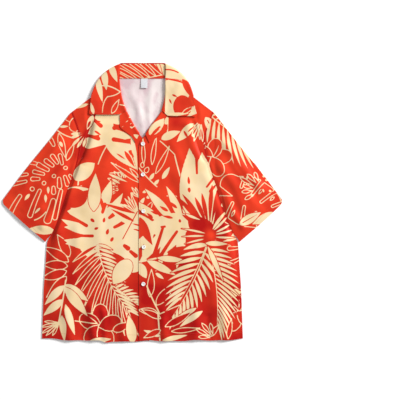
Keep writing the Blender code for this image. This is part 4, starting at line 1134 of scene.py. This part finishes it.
def shell(name, outer, inner, every, skins, fields, wrap=False, flip=False):
    """Closed cloth piece: a fine outer grid (rows, columns, 3) in millimetres, an inner grid thinned to every
    nth row and column, and a strip of triangles round each rim. wrap joins the last column to the first."""
    rows, columns = outer.shape[:2]
    thin = inner[::every, ::every]
    index = np.arange(rows * columns).reshape(rows, columns)
    inside = rows * columns + np.arange(thin[..., 0].size).reshape(thin.shape[:2])
    if wrap:
        index, inside = (np.hstack((ids, ids[:, :1])) for ids in (index, inside))
        loops = [(index[0, :-1], inside[0, :-1]), (index[-1, :0:-1], inside[-1, :0:-1])]
    else:
        loops = [[np.concatenate((ids[0, :-1], ids[:-1, -1], ids[-1, :0:-1], ids[:0:-1, 0]))
                  for ids in (index, inside)]]
    quads, quad_uv = cells(index, *UV_OUTER, False)
    under, under_uv = cells(inside, *UV_INNER, True)
    faces, uvs = quads.tolist() + under.tolist(), [quad_uv, under_uv]
    for number, (fine, coarse) in enumerate(loops):
        tris, run, level = rim(fine, coarse, every)
        faces += tris.tolist()
        uvs.append(np.stack((UV_RIM + 0.02 * number + 0.015 * level, run), -1).reshape(-1, 2))
    mesh = bpy.data.meshes.new(name)
    points = np.vstack((outer.reshape(-1, 3), thin.reshape(-1, 3))) * MM
    mesh.from_pydata(points.tolist(), [], faces)
    layer = mesh.uv_layers.new(name="OFBake", do_init=False)
    layer.data.foreach_set("uv", np.vstack(uvs).astype(np.float32).ravel())
    for title, field in fields.items():
        field = field.reshape(rows, columns)
        values = np.concatenate((field.ravel(), field[::every, ::every].ravel()))
        mesh.attributes.new(title, "FLOAT", "POINT").data.foreach_set("value", values.astype(np.float32))
    for skin in skins:
        mesh.materials.append(skin)
    which = np.zeros(len(faces), np.int32)
    which[len(quads):len(quads) + len(under)] = len(skins) - 1
    mesh.polygons.foreach_set("material_index", which)
    if flip:
        mesh.flip_normals()
    mesh.shade_smooth()
    mesh.set_sharp_from_angle(angle=SHARP)
    return linked(name, mesh)


def normals(grid, wrap=False):
    """Unit normals of a grid of points, from the cross product of its two central differences."""
    across = np.roll(grid, -1, 1) - np.roll(grid, 1, 1) if wrap else np.gradient(grid, axis=1)
    normal = np.cross(across, np.gradient(grid, axis=0))
    return normal / np.maximum(np.linalg.norm(normal, axis=-1, keepdims=True), TINY)


def dress(piece, node):
    """Piece set on the shirt's body, in place of its solid where it has one."""
    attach(piece, "root")
    if node:
        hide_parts(node)
    return piece


def mesh_grid(columns, rows):
    """u along the columns and v up the rows, both from 0 to 1, as flat arrays."""
    u, v = np.meshgrid(np.linspace(0, 1, columns), np.linspace(0, 1, rows))
    return u.ravel(), v.ravel()


def grid_of(xy, z, rows):
    """Grid of points (rows, columns, 3) from flat arrays of plan points and heights."""
    return np.column_stack((xy, z)).reshape(rows, -1, 3)


def flat_fields(xy, rows, deep):
    """The print, and the depth of its red with painted shade added, at each point."""
    return {"print": printed(xy, rows), "deep": tone(xy, deep)}


def build_front(side):
    """Front: a patch between its side seam and armhole, its button stand and open neck, hem and shoulder."""
    columns, rows, every = 175, 439, 3
    neck_row = 0.72  # share of the height at which the stand ends and the open neck begins
    edge, stand = FRONT_EDGE[side], STAND_EDGE[side]
    inner = ((mirrored(((stand, HEM), edge[0]), side), neck_row), (mirrored(edge, side), 1))
    flip = -1 if side == "left" else 1
    shoulder = mirrored((SHOULDER_POINT, NECK_POINT), side)

    def bottom(u):
        """Hem, from the side seam to the stand."""
        x = (SIDE[0][0] + (stand - SIDE[0][0]) * u) * flip
        return np.column_stack((x, hem_line(x) + hem_wave(x)))

    u, v = mesh_grid(columns, rows)
    xy = coons(u, v, lambda t: outer_edge(t, side), lambda t: joined(t, *inner), bottom,
               lambda t: curve(shoulder, t))
    off_side = np.hypot(*(xy - outer_edge(v, side)).T)
    off_shoulder = distance(xy, shoulder)[0]
    on_side = 1 - smooth((v - 0.38) / 0.06)  # 1 up the side seam, 0 along the armhole
    z = front_underside(xy, off_side, off_shoulder, on_side)
    if side == "left":
        z = z + over_stand(xy)
    under = grid_of(xy, z, rows)
    top = under + (0, 0, CLOTH)
    fields = flat_fields(xy, FRONT_PRINT[side], FRONT_DYE_AND_SHADE)
    # painted shade: a narrow band of deeper red along the armhole seam stands in for the fold's shade
    fields["deep"] += ARMHOLE_PAINTED_SHADE * (1 - smooth((off_side - 1) / 6)) * smooth((v - 0.4) / 0.1)
    piece = shell(f"front_{side}_cloth", top, under, every, (SKIN, LINING), fields, flip=side == "left")
    return dress(piece, f"front_{side}"), top


def build_back():
    """Back: its printed side on the table, its pale side up, seen in the open neck."""
    columns, rows, every = 217, 289, 4
    shoulder_share = 0.3  # of the top edge, at each end
    neck = np.vstack((BACK_NECK, mirrored(BACK_NECK[-2::-1], "left")))
    tops = (((SHOULDER_POINT, BACK_NECK[0]), shoulder_share), (neck, 1 - shoulder_share),
            ((neck[-1], mirrored(SHOULDER_POINT, "left")), 1))

    def bottom(t):
        """Hem, a little shorter than the fronts' own."""
        x = SIDE[0][0] * (1 - 2 * t)
        return np.column_stack((x, hem_line(x) + 0.8 * hem_wave(x) + 0.6))

    u, v = mesh_grid(columns, rows)
    xy = coons(u, v, lambda t: outer_edge(t, "right"), lambda t: outer_edge(t, "left"), bottom,
               lambda t: joined(t, *tops))
    under = grid_of(xy, lift(xy), rows)
    inside = np.abs(xy[:, 0]) < 75
    crease = folds(xy, NECK_DRAPES) * inside * smooth((352 - xy[:, 1]) / 20) * smooth((xy[:, 1] - 150) / 60)
    top = under + (0, 0, CLOTH)
    top[..., 2] += np.maximum(crease, 0).reshape(rows, columns)
    fields = flat_fields(xy, BACK_PRINT, BACK_DEEP)
    piece = shell("back_cloth", under, top, every, (SKIN, LINING), fields, flip=True)
    return dress(piece, "back"), top


def sleeve_ring():
    """One ring of a sleeve: over the top wall from the shoulder fold to the underarm, round it, back below.
    For each point its place from fold to underarm, step in from the edge, height, and 1 on the top wall."""
    over, below, turn = 195, 93, 3
    radius = SLEEVE_HALF_HEIGHT
    bend = np.linspace(np.pi / 2, -np.pi / 2, turn + 2)[1:-1]
    wide, back = np.linspace(0, 1, over), np.linspace(1, 0, below)
    round_fold, level = radius * (1 - np.cos(bend)), radius * (1 + np.sin(bend))
    place = np.concatenate((wide, np.ones(turn), back, np.zeros(turn)))
    step = np.concatenate((radius * ((wide == 0) | (wide == 1)), round_fold,
                           radius * ((back == 0) | (back == 1)), round_fold[::-1]))
    height = np.concatenate((np.full(over, 2 * radius), level, np.zeros(below), level[::-1]))
    top = np.concatenate((np.ones(over), np.zeros(turn + below + turn)))
    return place, step, height, top


def build_sleeve(side):
    """Sleeve: a flattened tube of rings from the armhole to the cuff."""
    rows, every = 166, 3
    ring = sleeve_ring()
    v = np.repeat(np.linspace(0, 1, rows), len(ring[0]))
    place, step, height, top = (np.tile(values, rows) for values in ring)
    fold, under = curve(SLEEVE_FOLD, v), curve(UNDERARM, v)
    xy = coons(place, v, lambda t: curve(SLEEVE_FOLD, t), lambda t: curve(UNDERARM, t),
               lambda t: curve(ARMHOLE, 1 - t) - (SEAM, 0), lambda t: curve(CUFF, t))
    inward = (under - fold) / np.hypot(*(under - fold).T)[:, None] * np.sign(0.5 - place)[:, None]
    xy = xy + inward * step[:, None]
    tucked = 1 - smooth(v * 30)  # the armhole edge runs in under the front's
    xy[:, 0] += tucked * (TUCK_IN + TUCK_ON_TOP * top)
    edge = smooth(place * 8) * smooth((1 - place) * 8)
    creases = folds(xy, SLEEVE_FOLDS) + folds(xy, SLEEVE_DRAPES) + ripple(xy, seed=5, size=60, height=0.35)
    ease = SLEEVE_EASE * np.sin(np.pi * place) ** 0.8 + creases * edge
    z = height + top * (np.maximum(ease, 0) * smooth(v * 7) - TUCK_DROP * tucked)
    outer = grid_of(xy, z, rows)
    inner = outer + normals(outer, wrap=True) * CLOTH
    if side == "left":
        outer, inner = outer * (-1, 1, 1), inner * (-1, 1, 1)
    xy = outer.reshape(-1, 3)[:, :2]
    upper, lower = SLEEVE_PRINT[side]
    fields = flat_fields(xy, upper, FRONT_DYE_AND_SHADE)
    fields["print"] = np.where(top > 0, fields["print"], printed(xy, lower))
    piece = shell(f"sleeve_{side}_cloth", outer, inner, every, (SKIN, LINING), fields, wrap=True,
                  flip=side == "right")
    return dress(piece, f"sleeve_{side}"), outer


def rolled(rows, turn_heights, level):
    """Points on a strip whose ribs roll out of a rim and lie down to a free edge, as in its solid."""
    near = np.array((1.6, 0.3, 0.8))  # first points of a rib, round its rolled rim
    far = np.array((0, 0.14, 0.32, 0.55, 0.78, 1))  # the rest, as shares of the way from crest to edge
    rise = np.array((0.1, 0.9, 1.6, 2.2, 2.0, 1.8, 1.7, 1.7, 1.7))  # height over what it lies on
    swell = np.array((0, 0.3, 0.75, 1, 0.85, 0.5, 0.2, 0.08, 0.08))  # share of the roll's own height
    places = []
    for rim_x, rim_y, edge_x, edge_y, bulge, turn, roll, crest in rows:
        start, edge = np.array((rim_x, rim_y)), np.array((edge_x, edge_y))
        length = np.hypot(*(edge - start))
        ahead = (edge - start) / length
        out = np.array((ahead[1], -ahead[0])) * (1 if rim_x <= 0 else -1)
        run = np.concatenate((near, crest + far * (length - crest)))
        share = run / length
        xy = start + ahead * run[:, None] + out * (4 * bulge * share * (1 - share))[:, None]
        over = level(xy) + WALL / 2 + rise + swell * roll
        places.append(np.column_stack((xy, (1 - turn) * turn_heights + turn * over)))
    return np.array(places)


# Places of the points across a strip: few over its roll, more over its leaf.
STRIP_RUN = np.concatenate((np.linspace(0, 3 / 8, 10), np.linspace(3 / 8, 1, 56)[1:]))


def strip(name, places, ribs, fields, loft, flip):
    """Cloth piece through a coarse grid of points: smooth curves along the ribs, then across them."""
    fine = through(places, np.linspace(0, 1, ribs))
    fine = np.moveaxis(through(np.moveaxis(fine, 1, 0), STRIP_RUN), 0, 1)
    fine[..., 2] += loft(fine)
    side = normals(fine) * CLOTH / 2 * (-1 if flip else 1)
    outer, inner = fine + side, fine - side
    every = 4
    return shell(name, outer, inner, every, (SKIN,), fields(outer.reshape(-1, 3)[:, :2]), flip=flip), outer


def build_collar():
    """Fall of the collar: under the back behind the neck, rolled over both fronts as its two leaves."""
    right, left = np.array(FALL_ROWS["right"], float), np.array(FALL_ROWS["left"], float)
    left[:, [0, 2]] *= -1
    middle = right[0].copy()
    middle[[0, 2]] = 0
    rows = np.vstack((right[::-1], middle, left))
    below = WALL / 2 + np.array((2.7, 1.8, 0.7, 0, 0, 0, 0, 0, 0))  # heights where it turns under the back
    places = rolled(rows, below, above_back)
    ribs = 273
    turned = np.clip(through(rows[:, 5], np.linspace(0, 1, ribs)), 0, 1)

    def loft(fine):
        """Waves of the leaves, and the lift of their free edge."""
        xy = fine.reshape(-1, 3)[:, :2]
        out = np.linspace(0, 1, fine.shape[1])
        wave = ripple(xy, seed=9, size=60, height=0.5) + folds(xy, LEAF_DRAPES) + 0.5
        wave = np.maximum(wave, 0).reshape(fine.shape[:2])
        return turned[:, None] * (smooth((out - 0.15) * 3) * wave + 1.4 * smooth((out - 0.6) / 0.4))

    def fields(xy):
        """Print of the leaves where the strip is turned over, of the fall elsewhere,
        and the depth of their red with painted shade.
        """
        over = np.repeat(turned > 0.5, len(STRIP_RUN))
        field = np.where(over, printed(xy, COLLAR_PRINT), printed(xy, FALL_PRINT))
        return {"print": field, "deep": np.where(over, tone(xy, FRONT_DYE_AND_SHADE), tone(xy, BACK_DEEP))}

    piece, outer = strip("collar_cloth", places, ribs, fields, loft, True)
    return dress(piece, "collar"), outer


def build_lapel(side):
    """Turned-out facing, from the rolled edge of the open neck to its own edge on the front."""
    rows = np.array(LAPEL_ROWS[side], float)
    rows = np.column_stack((rows, np.tile((0, 1, 0.8, 3), (len(rows), 1))))  # bulge, turn, roll, crest
    rows[:, [0, 2]] *= -1 if side == "left" else 1
    shoulder = mirrored((SHOULDER_POINT, NECK_POINT), side)
    far_from_seams = 150.0

    def level(xy):
        """Top of the front below the facing."""
        z = front_underside(xy, np.full(len(xy), far_from_seams), distance(xy, shoulder)[0], 0)
        return z + over_stand(xy) if side == "left" else z

    def fields(xy):
        """Print of the facing, and the depth of its red with painted shade."""
        return flat_fields(xy, FACING_PRINT, FRONT_DYE_AND_SHADE)

    piece, outer = strip(f"lapel_{side}_cloth", rolled(rows, 0, level), 57, fields,
                         lambda fine: 0 * fine[..., 0], side == "right")
    return dress(piece, f"lapel_{side}"), outer


def build_band():
    """Inner band of the collar behind the neck, slightly proud in the middle."""
    columns, rows, every = 91, 31, 3
    u, v = mesh_grid(columns, rows)
    x = BAND_HALF * (2 * u - 1)
    top = TOP - BAND_DROP - 3 * smooth((np.abs(x) - 56) / 9)
    xy = np.column_stack((x, BAND_FOOT + (top - BAND_FOOT) * v))
    z = above_back(xy) + BAND_PROUD * np.sin(np.pi * v) * np.sin(np.pi * u)
    z += np.maximum(ripple(xy, seed=2, size=40, height=0.2), 0) * np.sin(np.pi * v)
    under = grid_of(xy, z, rows)
    outer = under + (0, 0, CLOTH)
    fields = flat_fields(xy, BAND_PRINT, FRONT_DYE_AND_SHADE)
    return dress(shell("collar_band_cloth", outer, under, every, (SKIN,), fields), "collar_band"), outer


def build_label():
    """Blank label: a tape sewn on at its top edge, its lower edge lifting a little."""
    columns, rows, every = 13, 19, 2
    width, length, middle = 19.0, 27.0, 5.2
    u, v = mesh_grid(columns, rows)
    xy = np.column_stack((middle + width * (u - 0.5), BAND_FOOT - TAPE_SEWN - length * (1 - v)))
    z = above_back(xy) + TAPE_LIFT * (1 - v) ** 1.5 + 0.5 * np.sin(np.pi * u) * (1 - v)
    under = grid_of(xy, z, rows)
    piece = shell("label_tape", under + (0, 0, TAPE_THICK), under, every, (LABEL_TAPE_MARKED_AND_SHADED,), {})
    return dress(piece, "label")


def thread_row(name, runs, skin, pitch=3.4, length=2.4, gauge=0.42):
    """Row of stitches: at every pitch along each run a slim eight-faced spindle, half sunk in the cloth."""
    middles, ways = [], []
    for run in runs:
        run = np.asarray(run, float)
        far = np.concatenate(([0], np.cumsum(np.linalg.norm(np.diff(run, axis=0), axis=1))))
        spots = np.arange(pitch / 2, far[-1], pitch)
        here, ahead, behind = (np.stack([np.interp(spots + step, far, axis) for axis in run.T], -1)
                               for step in (0, 0.5, -0.5))
        middles.append(here)
        ways.append(ahead - behind)
    middle, way = np.vstack(middles), np.vstack(ways)
    way = way / np.maximum(np.linalg.norm(way, axis=1, keepdims=True), TINY)
    side = np.cross((0, 0, 1.0), way)
    side = side / np.maximum(np.linalg.norm(side, axis=1, keepdims=True), TINY) * gauge
    up = np.cross(way, side)
    corners = [way * length / 2, -way * length / 2, side, up * 0.7, -side, -up * 0.7]
    points = np.stack([middle + corner for corner in corners], 1).reshape(-1, 3) * MM
    ring = ((2, 3), (3, 4), (4, 5), (5, 2))  # the four corners round a stitch, between its two tips
    shape = np.array([(0, a, b) for a, b in ring] + [(1, b, a) for a, b in ring])
    faces = (shape + 6 * np.arange(len(middle))[:, None, None]).reshape(-1, 3)
    mesh = bpy.data.meshes.new(name)
    mesh.from_pydata(points.tolist(), [], faces.tolist())
    mesh.materials.append(skin)
    mesh.shade_smooth()
    return linked(name, mesh)


# ---- the shirt ----
THREAD_PROUD = 0.05  # rise of a seam's stitches over the cloth
cloth, sheets = {}, {}
for title, build in (("back", build_back), ("collar", build_collar), ("collar_band", build_band)):
    sheets[title], cloth[title] = build()
for side in SIDES:
    for title, build in (("front", build_front), ("sleeve", build_sleeve), ("lapel", build_lapel)):
        sheets[f"{title}_{side}"], cloth[f"{title}_{side}"] = build(side)
label = build_label()

collar = cloth["collar"]
rows_of_stitches = {  # rows and columns of each piece's grid that the needle follows
    "front_hem_stitches": [cloth[f"front_{side}"][11] for side in SIDES],
    "placket_stitches": [cloth["front_left"][11:300, -4]],
    "armhole_stitches": [cloth[f"front_{side}"][189:, 4] for side in SIDES],
    "shoulder_stitches": [cloth[f"front_{side}"][-3, 4:-20] for side in SIDES],
    "cuff_stitches": [cloth[f"sleeve_{side}"][-11, 4:185] for side in SIDES],
    "collar_stitches": [collar[3:-3, -4], collar[3, 12:-4], collar[-4, 12:-4]],
    "band_stitches": [cloth["collar_band"][2, 2:-2]],
    "lapel_stitches": [cloth[f"lapel_{side}"][2:-2, 13] for side in SIDES],
}
for title, runs in rows_of_stitches.items():
    dress(thread_row(title, [run + (0, 0, THREAD_PROUD) for run in runs], THREAD), None)

HOLE_SPREAD, THREAD_RUN, THREAD_SUNK = 1.5, 2.2, 0.55  # thread in a button: off its middle, half-length, sunk
BUTTONHOLE_HALF, BUTTONHOLE_DROP = (1.2, 8.2), 0.28  # half-width and half-length, and depth below the button
for number in range(1, 6):
    name = f"button_{number}"
    low, high = (np.array(corner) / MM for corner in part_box(f"button_{number}"))
    x, y = (low[:2] + high[:2]) / 2
    for slot_of_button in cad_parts[name].material_slots:
        slot_of_button.material = PEARL
    z = high[2] - THREAD_SUNK
    bars = [((x - THREAD_RUN, y + s, z), (x + THREAD_RUN, y + s, z)) for s in (-HOLE_SPREAD, HOLE_SPREAD)]
    thread = thread_row(f"{name}_thread", bars, PALE_THREAD, pitch=4.4, length=4.2, gauge=0.5)
    dress(thread, None)
    way = np.linspace(0, 2 * np.pi, 40)
    wide, long = BUTTONHOLE_HALF
    flat = np.full(40, low[2] - BUTTONHOLE_DROP)
    hole = np.column_stack((x + wide * np.sin(way), y + long * np.cos(way), flat))
    stitches = thread_row(f"buttonhole_{number}_stitches", [hole], THREAD, pitch=0.8, length=1.0, gauge=0.5)
    dress(stitches, None)

# ---- floor, light and camera ----
FLOOR_DROP = 0.0004  # metres below the shirt, so that the two don't share a plane
KEY_PLACE, KEY_SIZE, KEY_POWER = (7.2, 4.5, 4.2), 2.8, 1430
ROOM_LIGHT = 0.5
LENS, SENSOR = 85, 36
FRAME_WIDTH = 1.16  # metres of table across the picture
CAMERA_PLAN = (0.16675, 0.0051)

bpy.ops.mesh.primitive_plane_add(size=30, location=(0, 0, -FLOOR_DROP))
floor = bpy.context.object
floor.name = "floor"
MATT = {"Base Color": (0.98, 0.98, 0.98, 1), "Roughness": 0.9, "Specular IOR Level": 0.1}
floor.data.materials.append(shader("pale paper", MATT)[0])


def lamp(name, place, aim, size, power):
    """Square soft light at a place, turned to a point."""
    light = bpy.data.lights.new(name, "AREA")
    light.size, light.energy = size, power
    place, aim = np.array(place, float), np.array(aim, float)
    back = (place - aim) / np.linalg.norm(place - aim)
    right = np.cross((0, 1.0, 0.001), back)
    right /= np.linalg.norm(right)
    turn = np.eye(4)
    turn[:3, :3] = np.column_stack((right, np.cross(back, right), back))
    turn[:3, 3] = place
    linked(name, light).matrix_world = [list(row) for row in turn.T]


lamp("key", KEY_PLACE, (0, 0, 0), KEY_SIZE, KEY_POWER)
world = bpy.data.worlds.new("room")
world.use_nodes = True
world.node_tree.nodes["Background"].inputs[0].default_value = (1, 1, 1, 1)
world.node_tree.nodes["Background"].inputs[1].default_value = ROOM_LIGHT
bpy.context.scene.world = world
bpy.context.scene.view_settings.view_transform = "Standard"

lens = bpy.data.cameras.new("camera")
lens.lens, lens.sensor_width = LENS, SENSOR
camera = linked("camera", lens)
camera.location = (*CAMERA_PLAN, FRAME_WIDTH * LENS / SENSOR)
bpy.context.scene.camera = camera
